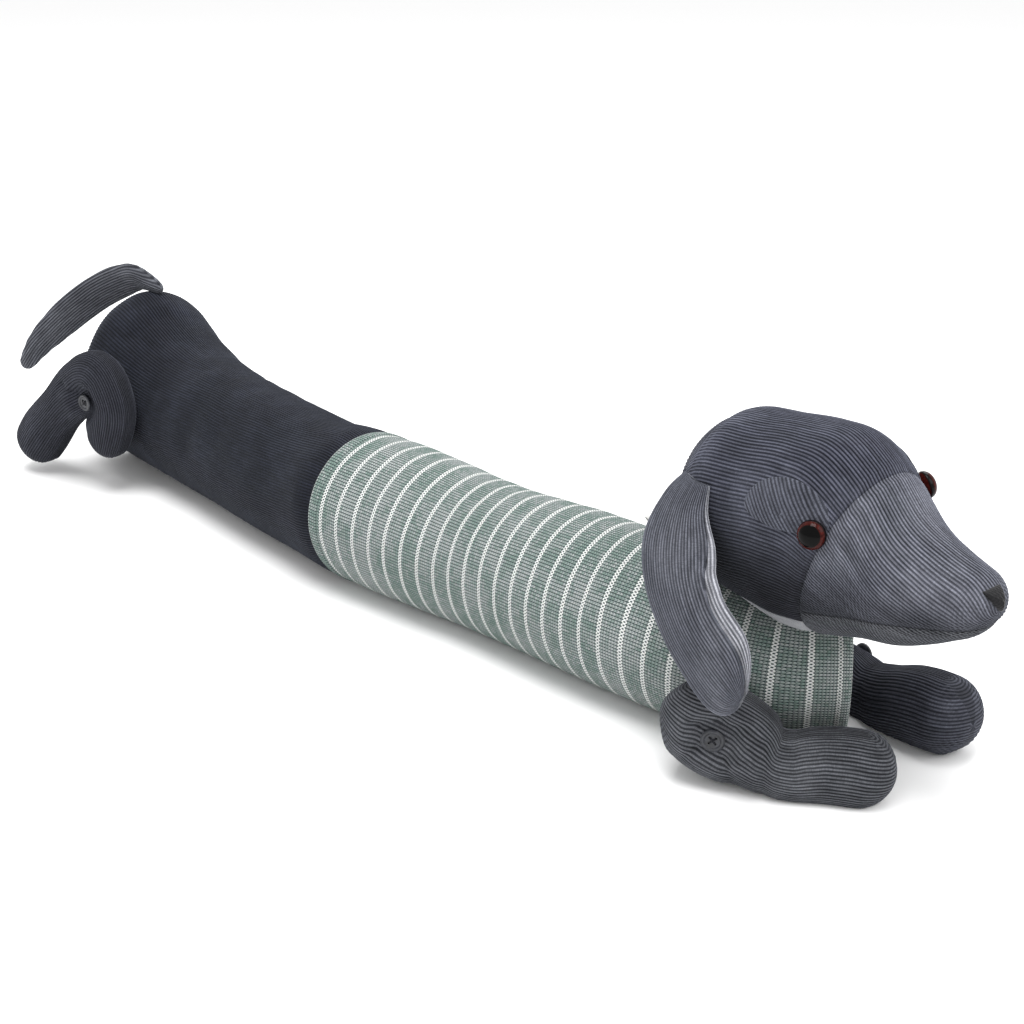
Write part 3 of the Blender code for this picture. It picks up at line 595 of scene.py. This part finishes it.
def headDent(point):
    width = headPiece["seamWidth"]
    seams = ("backSeam", "baseSeam", "muzzleSeam", "mouthSeam")
    back, base, muzzle, mouth = [seamReach(point, name) for name in seams]
    dents = [exp(-(back / width) ** 2), exp(-(muzzle / width) ** 2)]
    if back < 0 and muzzle < 0:
        dents.append(exp(-(base / width) ** 2))
    if muzzle > 0:
        dents.append(exp(-(mouth / width) ** 2))
    return max(dents)


def headMesh(title, grow=0.0, dented=True, around=None, middle=76):
    around = around or headPiece["around"]
    rings, cloth, marks = [], [], []
    stations = capped(headRail.length, headPiece["capBack"], headPiece["capNose"], middle, 12)
    for distance, share in stations:
        row = headRail.at(distance)
        ring, mark = [], []
        for k in range(around):
            turn = -pi / 2 + 2 * pi * k / around
            wide = (row[3] * share + grow) * cos(turn)
            tall = ((row[4] if sin(turn) > 0 else row[5]) * share + grow) * sin(turn)
            point = Vector((row[0], wide, row[2] + tall))
            outward = Vector((0, cos(turn), sin(turn)))
            dent = headDent(point) if dented else 0
            if dented:
                point += outward * (0.7 * lumps(point, 30, 2) - headPiece["seamDepth"] * dent)
            ring.append(point)
            mark.append(dent ** 6 * (0.5 if point.x < 50 else 0.25))
        rings.append(ring)
        marks.append(mark)
        steps = [0] + [(ring[(k + 1) % around] - ring[k]).length for k in range(around)]
        run = np.cumsum(steps)
        run = run - run[around // 2]
        cloth.append([(s * mm, distance * mm) for s in run])
    if dented:
        rings, cloth = raiseWales(rings, cloth, waleDepth)
    first, last = headRail.at(0), headRail.at(headRail.length)
    poles = (Vector((first[0] - grow, 0, first[2])), Vector((last[0] + grow, 0, last[2])))
    return ringMesh(title, rings, cloth, marks, poles)


def headPanel(title, source, keeps, gap=0.12):
    bm = bmesh.new()
    bm.from_mesh(source)
    for seam, side in keeps:
        spot, way = headPiece[seam]
        normal = Vector(way).normalized() * side
        point = (Vector(spot) - normal * gap) * mm
        everything = bm.verts[:] + bm.edges[:] + bm.faces[:]
        cut = bmesh.ops.bisect_plane(bm, geom=everything, dist=1e-7, plane_co=point, plane_no=normal,
                                     clear_outer=True)
        rim = [item for item in cut["geom_cut"] if isinstance(item, bmesh.types.BMEdge)]
        bmesh.ops.holes_fill(bm, edges=rim, sides=0)
    bmesh.ops.triangulate(bm, faces=[face for face in bm.faces if len(face.verts) > 4])
    mesh = bpy.data.meshes.new(title)
    bm.to_mesh(mesh)
    bm.free()
    return mesh


# Pad of cloth laid on the head: an outline about a centre, with its wales turned by an angle
def headPad(title, tree, aim, facing, outline, thickness, dome, lift, waleTurn, edgeMark=0.0):
    normal = Vector(facing).normalized()
    sideways = normal.cross(Vector((0, 0, 1))).normalized()
    upward = sideways.cross(normal)
    shares = [1.0, 1.0, 0.985, 0.95, 0.9, 0.83, 0.75, 0.65, 0.54, 0.42, 0.3, 0.18, 0.08]
    rises = [0.0, 0.55, 0.8, 0.93, 1.0]
    rings, cloth, marks = [], [], []
    for index, share in enumerate(shares):
        ring, row, mark = [], [], []
        for along, up in outline + outline[:1]:
            start = (Vector(aim) + sideways * along * share + upward * up * share) * mm + normal * 0.08
            hit = tree.ray_cast(start, -normal)[0]
            rise = thickness * (rises[index] if index < 5 else 1) + dome * (1 - share**2)
            ring.append((hit + normal * (lift + rise) * mm) / mm)
            u = along * share * cos(waleTurn) + up * share * sin(waleTurn)
            v = up * share * cos(waleTurn) - along * share * sin(waleTurn)
            row.append((u * mm, v * mm))
            mark.append(edgeMark if share > 0.96 else 0)
        rings.append(ring[:-1])
        cloth.append(row)
        marks.append(mark[:-1])
    hit = tree.ray_cast(Vector(aim) * mm + normal * 0.08, -normal)[0]
    poles = [(hit - normal * 0.5 * mm) / mm, (hit + normal * (lift + thickness + dome) * mm) / mm]
    return ringMesh(title, rings, cloth, marks, poles)


# Legs, drawn in by their buttons

legPieces = {
    # forward, up, half height, half thick
    "frontTable": [(-31, 8, 15, 14), (-21, 5, 22, 18), (0, -2, 28, 21), (17, -8, 26, 21), (32, -15, 19, 21),
                   (45, -16, 20, 21), (60, -12.5, 22, 20), (84, -10.5, 22.5, 20), (100, -12, 20, 19)],
    "farTable": [(-28, -6, 10, 12), (-20, -5, 14, 16), (0, -9, 20, 18), (22, -15, 22, 18), (42, -11, 23, 20),
                 (62, -4, 24, 22), (84, 0, 23.5, 22), (100, 1, 21, 22)],
    "hindTable": [(3, -46, 15, 12), (11, -27, 21, 15), (17, 1, 23, 16), (5, 18, 23, 17), (-14, 8, 23, 17),
                  (-44, -17, 20, 17), (-69, -43, 22, 19), (-88, -66, 20, 18)],
    "tuftDepth": 6, "tuftFloor": 9, "tuftRim": 19, "around": 264, "clothRadius": 22,
    # place in millimetres, turns in degrees, side of the button, shape table
    "front_near": {"place": (344.9, -86.37, 33.0), "turns": (0, 5, 33), "side": -1, "table": "frontTable"},
    "front_far": {"place": (337.9, 48.57, 23.0), "turns": (0, 0, -11), "side": 1, "table": "farTable"},
    "hind_near": {"place": (-288.1, -94.76, 76.0), "turns": (0, 1, 10), "side": -1, "table": "hindTable"},
    "hind_far": {"place": (-351.1, 78.77, 24.0), "turns": (80, 0, 35), "side": 1, "table": "hindTable"},
}
# creases of each leg: from (forward, up) to (forward, up), width, depth
legCreases = {
    "frontTable": [((8, -12), (16, -30), 3.2, 3.2), ((29, 2), (31, -30), 3.6, 3.6),
                   ((2, 12), (-8, 24), 3.0, 2.2), ((12, 10), (27, 14), 3.0, 2.6),
                   ((-8, -8), (-20, -20), 3.0, 2.2), ((46, 6), (52, -10), 4.0, 1.4),
                   ((-10, 6), (-22, 12), 3.0, 1.8), ((60, 4), (64, -16), 4.0, 1.0)],
    "farTable": [((4, -12), (12, -28), 3.0, 1.6), ((26, 0), (30, -20), 3.5, 1.4),
                 ((2, 8), (-6, 16), 3.0, 1.0)],
    "hindTable": [((-4, 4), (-24, 12), 2.5, 2.0), ((-4, -6), (-22, -24), 2.5, 3.0),
                  ((2, -12), (-6, -34), 3.0, 2.0), ((-22, 12), (-30, 2), 2.5, 1.6),
                  ((8, 10), (18, 20), 3.0, 1.0)],
}


def creaseDepth(forward, up, creases):
    total = 0
    here = Vector((forward, up))
    for start, end, width, depth in creases:
        a, b = Vector(start), Vector(end)
        t = min(max((here - a).dot(b - a) / (b - a).length_squared, 0), 1)
        away = (here - a.lerp(b, t)).length
        total += depth * exp(-(away / width) ** 2) * (1 - 0.5 * t)
    return total


def legMesh(title, spec):
    table = legPieces[spec["table"]]
    rail = Rail(table, 2)
    side = spec["side"]
    turned = Euler([radians(turn) for turn in spec["turns"]]).to_matrix().to_4x4()
    pose = Matrix.Translation(Vector(spec["place"])) @ turned
    around = legPieces["around"]
    rings, cloth, marks = [], [], []
    for distance, share in capped(rail.length, 16, 19, 66, 10):
        row = rail.at(distance)
        ahead = rail.heading(distance, 2)
        normal = Vector((-ahead[1], ahead[0]))
        ring, mark = [], []
        for k in range(around):
            turn = pi / 2 + 2 * pi * k / around  # starts at the middle of the inner or outer face
            high = row[2] * share * cos(turn)
            thick = row[3] * share * sin(turn)
            forward, upward = row[0] + normal.x * high, row[1] + normal.y * high
            reach = sqrt(forward**2 + upward**2)
            sunk = smooth(0, legPieces["tuftRim"] - legPieces["tuftFloor"], legPieces["tuftRim"] - reach)
            thick *= 1 - legPieces["tuftDepth"] / row[3] * sunk
            face = abs(sin(turn))
            spot = Vector((forward, upward, 7 * side))
            seam = exp(-((abs(high) - row[2] * share) / 0.9) ** 2) * (1 if face < 0.3 else 0)
            if reach > legPieces["tuftFloor"] + 1:
                crease = creaseDepth(forward, upward, legCreases[spec["table"]])
                thick -= (1 if thick > 0 else -1) * crease * face
                thick += (0.9 * lumps(spot, 22, 4)) * face
            pull = 1 - 0.035 * seam
            forward, upward = row[0] + normal.x * high * pull, row[1] + normal.y * high * pull
            point = pose @ Vector((forward, side * thick, upward))
            point.z = max(point.z, 0)
            ring.append(point)
            mark.append(seam * 0.45)
        rings.append(ring)
        marks.append(mark)
        turns = [pi / 2 + 2 * pi * k / around for k in range(around + 1)]
        leans = [asin(min(max(share * cos(turn), -1), 1)) for turn in turns]
        cloth.append([(legPieces["clothRadius"] * lean * mm, distance * mm) for lean in leans])
    rings, cloth = raiseWales(rings, cloth, waleDepth, True)
    poles = [pose @ Vector((row[0], 0, row[1])) for row in (rail.at(0), rail.at(rail.length))]
    return ringMesh(title, rings, cloth, marks, poles)


# Ears and their linings, two thin layers each

earPiece = {
    # centre x, y, z, half width
    "table": [(194, -33, 167, 8), (191, -39, 153, 15), (192, -45, 134, 24), (198, -50, 116, 26),
              (212, -56, 100, 26.5), (236, -64, 86, 27), (263, -71, 75, 26)],
    "endCap": 24, "curl": 4.0, "mirror": 19, "thickness": 2.2, "lining": 1.4, "gap": 0.3,
    "nearSlide": (0, 0.49, 0), "farSlide": (11, -5.04, 7), "alongCount": 70, "acrossCount": 130,
    "clothWidth": 52, "bulge": 0.7, "outerFront": (-0.06, -0.3), "liningFront": (0.04, 0.03),
}


def earSurface(side):
    rail = Rail(earPiece["table"])

    def surface(u, v):
        distance = rail.length * u
        row = rail.at(distance)
        ahead = rail.heading(min(max(distance, 1), rail.length - 1))
        left = rail.length - distance
        share = sqrt(max(1 - max(1 - left / earPiece["endCap"], 0) ** 2, 0.05))
        frontWay = Vector((0, 1, 0)).cross(ahead).normalized()
        if frontWay.x < 0:
            frontWay.negate()
        point = Vector(row[:3]) + frontWay * row[3] * v * share
        point.y += earPiece["curl"] * v**2 * share
        if side > 0:
            point.y = 2 * earPiece["mirror"] - point.y
        return point + Vector(earPiece["nearSlide" if side < 0 else "farSlide"])
    return surface, rail.length


# One layer of an ear; overhang lets its front edge stand out or back, at the top and lower down
def layerMesh(title, surface, length, thickness, offset, overhang):
    alongCount, acrossCount = earPiece["alongCount"], earPiece["acrossCount"]
    rings, cloth, marks = [], [], []
    for i in range(alongCount + 1):
        outer, inner, row = [], [], []
        for j in range(acrossCount + 1):
            u, v = i / alongCount, -cos(pi * j / acrossCount)
            reach = overhang[0] + (overhang[1] - overhang[0]) * smooth(0.1, 0.7, u)
            v = v * (1 + (reach if v > 0 else 0))
            along = surface(min(u + 0.01, 1), v) - surface(max(u - 0.01, 0), v)
            across = surface(u, v + 0.01) - surface(u, v - 0.01)
            normal = along.cross(across).normalized()
            edge = min(1 - min(abs(v), 1), min(u, 1 - u) * 2.2)
            full = 0.35 + 0.65 * smooth(0, 0.12, edge)
            point = surface(u, v)
            wave = earPiece["bulge"] * lumps(point, 24, 8) * smooth(0, 0.3, edge)
            middle = offset + thickness / 2 + wave
            outer.append(point + normal * (middle + thickness / 2 * full))
            inner.append(point + normal * (middle - thickness / 2 * full))
            row.append(v)
        rings.append(outer + inner[::-1])
        us = [v * earPiece["clothWidth"] / 2 * mm for v in row]
        cloth.append([(s, i / alongCount * length * mm) for s in us + us[::-1] + us[:1]])
        marks.append([0] * len(rings[-1]))
    rings, cloth = raiseWales(rings, cloth, waleDepth)
    rings = [[Vector(point) for point in ring] for ring in rings]
    poles = []
    for ring in (rings[0], rings[-1]):
        poles.append(sum(ring, Vector()) / len(ring))
    return ringMesh(title, rings, cloth, marks, poles)


# Tail

tailPiece = {
    # centre x, y, z, half width, lean of the flat side, half thickness
    "table": [(-440, 39.5, 152, 4, 74, 4), (-453, 37.5, 156, 8, 72, 5), (-470, 34, 159, 12.5, 68, 5.5),
              (-486, 29, 154, 14.5, 64, 5), (-510, 22, 142, 15, 60, 5), (-535, 13.5, 125.5, 15, 57, 5),
              (-560, 4.5, 105.5, 14, 55, 5), (-582, -4, 85, 11, 54, 4.5), (-604, -10, 60, 6, 54, 4)],
    "slide": (0, 0, -8.09), "around": 160,
}


def buildTail():
    rail = Rail(tailPiece["table"])
    rings, cloth, marks = [], [], []
    around = tailPiece["around"]
    for distance, share in capped(rail.length, 6, 9, 60, 7):
        row = rail.at(distance)
        ahead = rail.heading(distance)
        across = (Vector((0, 1, 0)) - ahead * ahead.y).normalized()
        upward = ahead.cross(across)
        lean = radians(row[4])
        wideWay = across * cos(lean) + upward * sin(lean)
        thickWay = upward * cos(lean) - across * sin(lean)
        ring, mark = [], []
        for k in range(around):
            turn = 2 * pi * k / around
            centre = Vector(row[:3]) + Vector(tailPiece["slide"])
            point = centre + wideWay * row[3] * share * cos(turn)
            puff = row[5] * share * sin(turn) + 0.8 * lumps(point, 18, 6) * sin(turn)
            ring.append(point + thickWay * puff)
            mark.append(0.5 * exp(-((1 - abs(cos(turn))) / 0.012) ** 2))
        rings.append(ring)
        marks.append(mark)
        cloth.append([(row[3] * cos(2 * pi * k / around) * mm, distance * mm) for k in range(around + 1)])
    rings, cloth = raiseWales(rings, cloth, waleDepth)
    poles = [Vector(rail.at(end)[:3]) + Vector(tailPiece["slide"]) for end in (0, rail.length)]
    return ringMesh("tail", rings, cloth, marks, poles)


# The pieces are made from here on

def cutBy(mesh, cutterMesh, title):
    holder = bpy.data.objects.new(title, mesh)
    scene.collection.objects.link(holder)
    holder.matrix_world = Matrix.Translation(origin * mm)
    cutter = bpy.data.objects.new(title + "Cutter", cutterMesh)
    scene.collection.objects.link(cutter)
    cutter.matrix_world = headPlace
    cut = holder.modifiers.new("seat", "BOOLEAN")
    cut.operation = "DIFFERENCE"
    cut.solver = "EXACT"
    cut.object = cutter
    bpy.context.view_layer.update()
    made = bpy.data.meshes.new_from_object(holder.evaluated_get(bpy.context.evaluated_depsgraph_get()))
    bpy.data.objects.remove(holder)
    bpy.data.objects.remove(cutter)
    return made


seatMesh = headMesh("seat", 0.3, False, 72, 30)
bodyMesh = cutBy(buildBody(), seatMesh, "bodySeat")
body = addPiece("corduroyBody", bodyMesh, cords["navyCord"], ["body"])
print("body made", len(bodyMesh.polygons))

jumperMesh = cutBy(buildJumper(), seatMesh, "jumperSeat")
jumper = addPiece("knittedJumper", jumperMesh, knitMaterial, ["jumper"])
print("jumper made", len(jumperMesh.polygons))

headFull = headMesh("headFull")
headPanels = {
    "crown": {"keeps": [("backSeam", 1), ("baseSeam", 1), ("muzzleSeam", 1)], "slot": "cord_dark",
              "material": cords["skullCord"]},
    "muzzle": {"keeps": [("muzzleSeam", -1), ("mouthSeam", 1)], "slot": "cord_pale",
               "material": cords["paleCord"]},
    # the jaw uses the pale cord darkened as painted shade
    "jaw": {"keeps": [("muzzleSeam", -1), ("mouthSeam", -1)], "slot": "cord_pale",
            "material": cords["shadedJawCord"]},
    # the back panel's grey cotton is darkened as painted shade
    "back": {"keeps": [("backSeam", -1)], "slot": "plain_grey", "material": shadedBackMaterial},
    "base": {"keeps": [("backSeam", 1), ("baseSeam", -1), ("muzzleSeam", 1)], "slot": "plain_grey",
             "material": plainMaterial},
}
for word, spec in headPanels.items():
    mesh = headPanel(word, headFull, spec["keeps"])
    panel = addPiece(word + "Panel", mesh, spec["material"], ["head_" + word], headPlace)
print("head made")

form = bmesh.new()
form.from_mesh(headFull)
headTree = BVHTree.FromBMesh(form)
form.free()
browPiece = {"aim": (34, 42, 22), "facing": (0.15, 1, 0.35), "wide": 25, "up": 19, "down": 8, "lift": 0.1,
             "thickness": 0.9, "dome": 1.2, "waleTurn": radians(40)}
nosePiece = {"aim": (128, 0, -5), "facing": (1, 0, 0.12), "lift": 0.2, "thickness": 1.2, "dome": 2.4,
             "outline": [(-6.2, 5.2), (-3, 5.5), (0, 5.6), (3, 5.5), (6.2, 5.2), (4.6, 1), (2.4, -3), (0, -6),
                         (-2.4, -3), (-4.6, 1)]}


def rounded(outline, count):  # finer outline through the same corners
    points = np.array(outline + outline[:1], float)
    marks = np.concatenate([[0], np.cumsum(np.linalg.norm(np.diff(points, axis=0), axis=1))])
    fine = np.linspace(0, marks[-1], count * 4, endpoint=False)
    xs, ys = np.interp(fine, marks, points[:, 0]), np.interp(fine, marks, points[:, 1])
    soft = []
    for k in range(0, len(fine), 4):
        near = [(k + step) % len(fine) for step in range(-2, 3)]
        soft.append((float(np.mean(xs[near])), float(np.mean(ys[near]))))
    return soft


browOutline = []
for k in range(56):
    turn = 2 * pi * k / 56
    reach = browPiece["up"] if sin(turn) > 0 else browPiece["down"]
    browOutline.append((browPiece["wide"] * cos(turn), reach * sin(turn)))
for side, word in ((-1, "near"), (1, "far")):
    x, y, z = browPiece["aim"]
    fx, fy, fz = browPiece["facing"]
    mesh = headPad("brow" + word, headTree, (x, side * y, z), (fx, side * fy, fz), browOutline,
                   browPiece["thickness"], browPiece["dome"], browPiece["lift"], side * browPiece["waleTurn"])
    brow = addPiece("brow" + word.title(), mesh, cords["browCord"], ["brow_" + word], headPlace)

# Nose of black satin stitches
noseMaterial = newMaterial("noseThread", plainGroup, {
    "Thread": 0.0009, "Cloth Colour": (0.006, 0.006, 0.007), "Shade Colour": (0.002, 0.002, 0.003)},
    0.0002, 0.1, (1, 1, 1), 0.6)
mesh = headPad("nose", headTree, nosePiece["aim"], nosePiece["facing"], rounded(nosePiece["outline"], 40),
               nosePiece["thickness"], nosePiece["dome"], nosePiece["lift"], 0)
addPiece("noseTip", mesh, noseMaterial, ["nose"], headPlace)
print("face pads made")

# Glossy eyes: black pupil, dark red ring and a black rim
eyePieces = {
    "near": {"place": (394.37, -80.28, 160.28), "turns": (82.63, -1.67, 14.94)},
    "far": {"place": (404.43, 4.11, 166.97), "turns": (74.28, -1.67, 151.46)},
    "radius": 7.8, "height": 6.4, "around": 56,
}


def buildEyeMaterial():
    material = bpy.data.materials.new("glassEye")
    material.use_nodes = True
    tree = material.node_tree
    w = Wiring(tree)
    shader = tree.nodes["Principled BSDF"]
    cloth = tree.nodes.new("ShaderNodeUVMap")
    cloth.uv_map = "cloth"
    parts = tree.nodes.new("ShaderNodeSeparateXYZ")
    tree.links.new(cloth.outputs[0], parts.inputs[0])
    radius = w.math("MULTIPLY", parts.outputs[1], 1000.0)
    place = tree.nodes.new("ShaderNodeTexCoord").outputs["Object"]
    streaks = w.noise(place, 900.0, 2.0)
    iris = w.mix(w.spread(streaks, 0.3, 0.7), (0.020, 0.0025, 0.002, 1), (0.050, 0.007, 0.005, 1))
    colour = w.mix(w.spread(radius, 5.6, 6.1), (0.0008, 0.0008, 0.0008, 1), iris)
    colour = w.mix(w.spread(radius, 7.2, 7.6), colour, (0.004, 0.003, 0.003, 1))
    tree.links.new(colour, shader.inputs["Base Color"])
    tree.links.new(w.spread(streaks, 0.2, 0.8, 0.05, 0.09), shader.inputs["Roughness"])
    shader.inputs["Specular IOR Level"].default_value = 0.09
    return material


eyeMaterial = buildEyeMaterial()
for word in ("near", "far"):
    rings, cloth = [], []
    around = eyePieces["around"]
    radius, top = eyePieces["radius"], eyePieces["height"]
    profile = [(-3.2, radius * 0.55), (-2.6, radius * 0.75), (0, radius * 0.93), (0.5, radius), (1.1, radius)]
    for turn in np.linspace(0.12, 1.5, 14):
        profile.append((1.1 + (top - 1.1) * sin(turn), radius * 0.985 * cos(turn)))
    for height, reach in profile:
        turns = [2 * pi * k / around for k in range(around)]
        rings.append([(reach * cos(turn), reach * sin(turn), height) for turn in turns])
        cloth.append([(2 * pi * k / around * mm, reach * mm) for k in range(around + 1)])
    mesh = ringMesh("eye" + word, rings, cloth, None, ((0, 0, -3.4), (0, 0, top)))
    addPiece("eye" + word.title(), mesh, eyeMaterial, ["eye_" + word], poseOf(eyePieces[word]))

# Ears with a paler lining that shows along the front edge
for side, word in ((-1, "near"), (1, "far")):
    surface, length = earSurface(side)
    outOffset = 0 if side < 0 else -earPiece["thickness"]
    inOffset = -earPiece["gap"] - earPiece["lining"] if side < 0 else earPiece["gap"]
    mesh = layerMesh("ear" + word, surface, length, earPiece["thickness"], outOffset, earPiece["outerFront"])
    ear = addPiece("ear" + word.title(), mesh, cords["earCord"], ["ear_" + word])
    mesh = layerMesh("lining" + word, surface, length, earPiece["lining"], inOffset, earPiece["liningFront"])
    lining = addPiece("earLining" + word.title(), mesh, cords["edgeCord"], ["ear_lining_" + word])
print("ears made")

# Legs, each tufted by a sewn button
legLooks = {
    "front_near": {"title": "nearFrontLeg", "cord": "slateCord"},
    "front_far": {"title": "farFrontLeg", "cord": "farCord"},
    "hind_near": {"title": "nearHindLeg", "cord": "legCord"},
    "hind_far": {"title": "farHindLeg", "cord": "legCord"},
}
for word, look in legLooks.items():
    mesh = legMesh(look["title"], legPieces[word])
    leg = addPiece(look["title"], mesh, cords[look["cord"]], ["leg_" + word], Matrix.Identity(4))

mesh = buildTail()
tail = addPiece("tailStrip", mesh, cords["tailCord"], ["tail"])
print("legs and tail made")

# Buttons keep their solids and get a polished finish and thread through the holes
# Places in millimetres and turns in degrees
buttonPieces = {
    "front_near": {"place": (353.45, -99.54, 33.0), "turns": (90, 5, 33)},
    "front_far": {"place": (340.32, 61.04, 23.0), "turns": (-90, 0, -11)},
    "hind_near": {"place": (-286.25, -105.3, 76.0), "turns": (90, 1, 10)},
    "hind_far": {"place": (-352.17, 80.29, 34.54), "turns": (-10, 0, 35)},
    "holeOffset": 1.7, "threadRadius": 0.42,
}


def buildButtonMaterial():
    material = bpy.data.materials.new("darkButton")
    material.use_nodes = True
    tree = material.node_tree
    w = Wiring(tree)
    shader = tree.nodes["Principled BSDF"]
    place = tree.nodes.new("ShaderNodeTexCoord").outputs["Object"]
    cloud = w.noise(place, 260.0, 3.0)
    horn = w.mix(w.spread(cloud, 0.3, 0.7), (0.008, 0.009, 0.012, 1), (0.020, 0.022, 0.030, 1))
    tree.links.new(horn, shader.inputs["Base Color"])
    tree.links.new(w.spread(w.noise(place, 900.0, 3.0), 0.3, 0.7, 0.28, 0.42), shader.inputs["Roughness"])
    return material


buttonMaterial = buildButtonMaterial()
threadMaterial = newMaterial("buttonThread", plainGroup, {
    "Thread": 0.0004, "Cloth Colour": (0.012, 0.013, 0.018), "Shade Colour": (0.006, 0.006, 0.009)},
    0.0001, 0.2, (1, 1, 1))
for word, look in legLooks.items():
    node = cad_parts["button_" + word]
    node.data.materials.clear()
    node.data.materials.append(buttonMaterial)
    pose = poseOf(buttonPieces[word])
    offset, thick = buttonPieces["holeOffset"], buttonPieces["threadRadius"]
    for index, (sx, sy) in enumerate(((1, 1), (1, -1))):
        rings, cloth = [], []
        for step in range(13):
            t = step / 12 * 2 - 1
            centre = Vector((offset * t * sx, offset * t * sy, 1.2 + 1.15 * (1 - t**6) + 0.25 * index))
            sideWay = Vector((-sy, sx, 0)).normalized()
            ring = []
            for k in range(10):
                turn = 2 * pi * k / 10
                ring.append(centre + sideWay * thick * cos(turn) + Vector((0, 0, thick * sin(turn))))
            rings.append(ring)
            cloth.append([(k * 0.0002, step * 0.0004) for k in range(11)])
        poles = (rings[0][0].lerp(rings[0][5], 0.5), rings[-1][0].lerp(rings[-1][5], 0.5))
        mesh = ringMesh("thread" + word + str(index), rings, cloth, None, poles)
        addPiece(look["title"] + "Thread" + str(index), mesh, threadMaterial, [], pose)

# Blank folded label behind the neck
labelPiece = {
    "place": (251.9, -25.09, 101.43), "turns": (8, -28, 172),
    # forward and up, round the fold
    "path": [(0, 0.9), (5, 1.0), (10, 0.95), (14, 0.75), (15.6, 0.4), (16.1, 0), (15.6, -0.4), (14, -0.65),
             (10, -0.75), (5, -0.8), (0, -0.8)],
}


def buildLabel():
    path = labelPiece["path"]
    rings, cloth = [], []
    for x, z in path:
        inward = 0.25 * (1 if z > 0 else -1 if z < 0 else 0)
        ring = []
        for k in range(13):
            ring.append((x, -5 + 10 * k / 12, z + 0.15 * sin(k)))
        for k in range(13):
            ring.append((x - (0.25 if x > 15 else 0), 5 - 10 * k / 12, z - inward + 0.15 * sin(12 - k)))
        rings.append(ring)
    run = 0
    for i, (x, z) in enumerate(path):
        run += 0 if i == 0 else sqrt((x - path[i - 1][0]) ** 2 + (z - path[i - 1][1]) ** 2)
        us = [k / 12 * 0.01 for k in range(13)]
        cloth.append([(u, run * mm) for u in us + us[::-1] + us[:1]])
    poles = (np.mean(np.array(rings[0], float), axis=0), np.mean(np.array(rings[-1], float), axis=0))
    return ringMesh("label", rings, cloth, None, poles)


addPiece("foldedLabel", buildLabel(), labelMaterial, ["label"], poseOf(labelPiece))
print("small parts made")


# Camera, floor and light

cameraSet = {"place": (823.4, -704.71, 472.5), "ahead": (-0.667, 0.644, -0.3746), "lens": 56.25}
camera = bpy.data.objects.new("camera", bpy.data.cameras.new("camera"))
scene.collection.objects.link(camera)
camera.data.lens = cameraSet["lens"]
camera.data.sensor_width = 36
camera.data.clip_start, camera.data.clip_end = 0.01, 50
camera.location = Vector(cameraSet["place"]) * mm
camera.rotation_mode = "QUATERNION"
camera.rotation_quaternion = Vector(cameraSet["ahead"]).to_track_quat("-Z", "Y")
scene.camera = camera

floorSet = {"reach": 30, "level": -0.0005, "colour": (0.92, 0.92, 0.92, 1)}
floorMesh = bpy.data.meshes.new("floor")
corners = []
for x, y in ((-1, -1), (1, -1), (1, 1), (-1, 1)):
    corners.append((x * floorSet["reach"], y * floorSet["reach"], floorSet["level"]))
floorMesh.from_pydata(corners, [], [(0, 1, 2, 3)])
floor = bpy.data.objects.new("floor", floorMesh)
scene.collection.objects.link(floor)
floorMaterial = bpy.data.materials.new("paleFloor")
floorMaterial.use_nodes = True
floorShader = floorMaterial.node_tree.nodes["Principled BSDF"]
floorShader.inputs["Base Color"].default_value = floorSet["colour"]
floorShader.inputs["Roughness"].default_value = 0.9
floorShader.inputs["Specular IOR Level"].default_value = 0.1
floorMesh.materials.append(floorMaterial)

lightSets = [
    {"name": "topLight", "place": (0.3, -0.5, 2.6), "size": 1.4, "power": 60, "aim": (0.1, 0, 0.05)},
    {"name": "fillLight", "place": (1.9, 0.3, 1.6), "size": 1.4, "power": 18, "aim": (0.2, 0, 0.05)},
    {"name": "rimLight", "place": (-0.6, 1.7, 1.8), "size": 1.4, "power": 16, "aim": (0, 0, 0.05)},
]
for spec in lightSets:
    lamp = bpy.data.lights.new(spec["name"], "AREA")
    lamp.energy = spec["power"]
    lamp.size = spec["size"]
    light = bpy.data.objects.new(spec["name"], lamp)
    scene.collection.objects.link(light)
    light.location = spec["place"]
    light.rotation_mode = "QUATERNION"
    light.rotation_quaternion = (Vector(spec["aim"]) - Vector(spec["place"])).to_track_quat("-Z", "Y")
world = bpy.data.worlds.new("studio")
world.use_nodes = True
world.node_tree.nodes["Background"].inputs["Color"].default_value = (1, 1, 1, 1)
world.node_tree.nodes["Background"].inputs["Strength"].default_value = 1.02
scene.world = world
scene.view_settings.view_transform = "Standard"
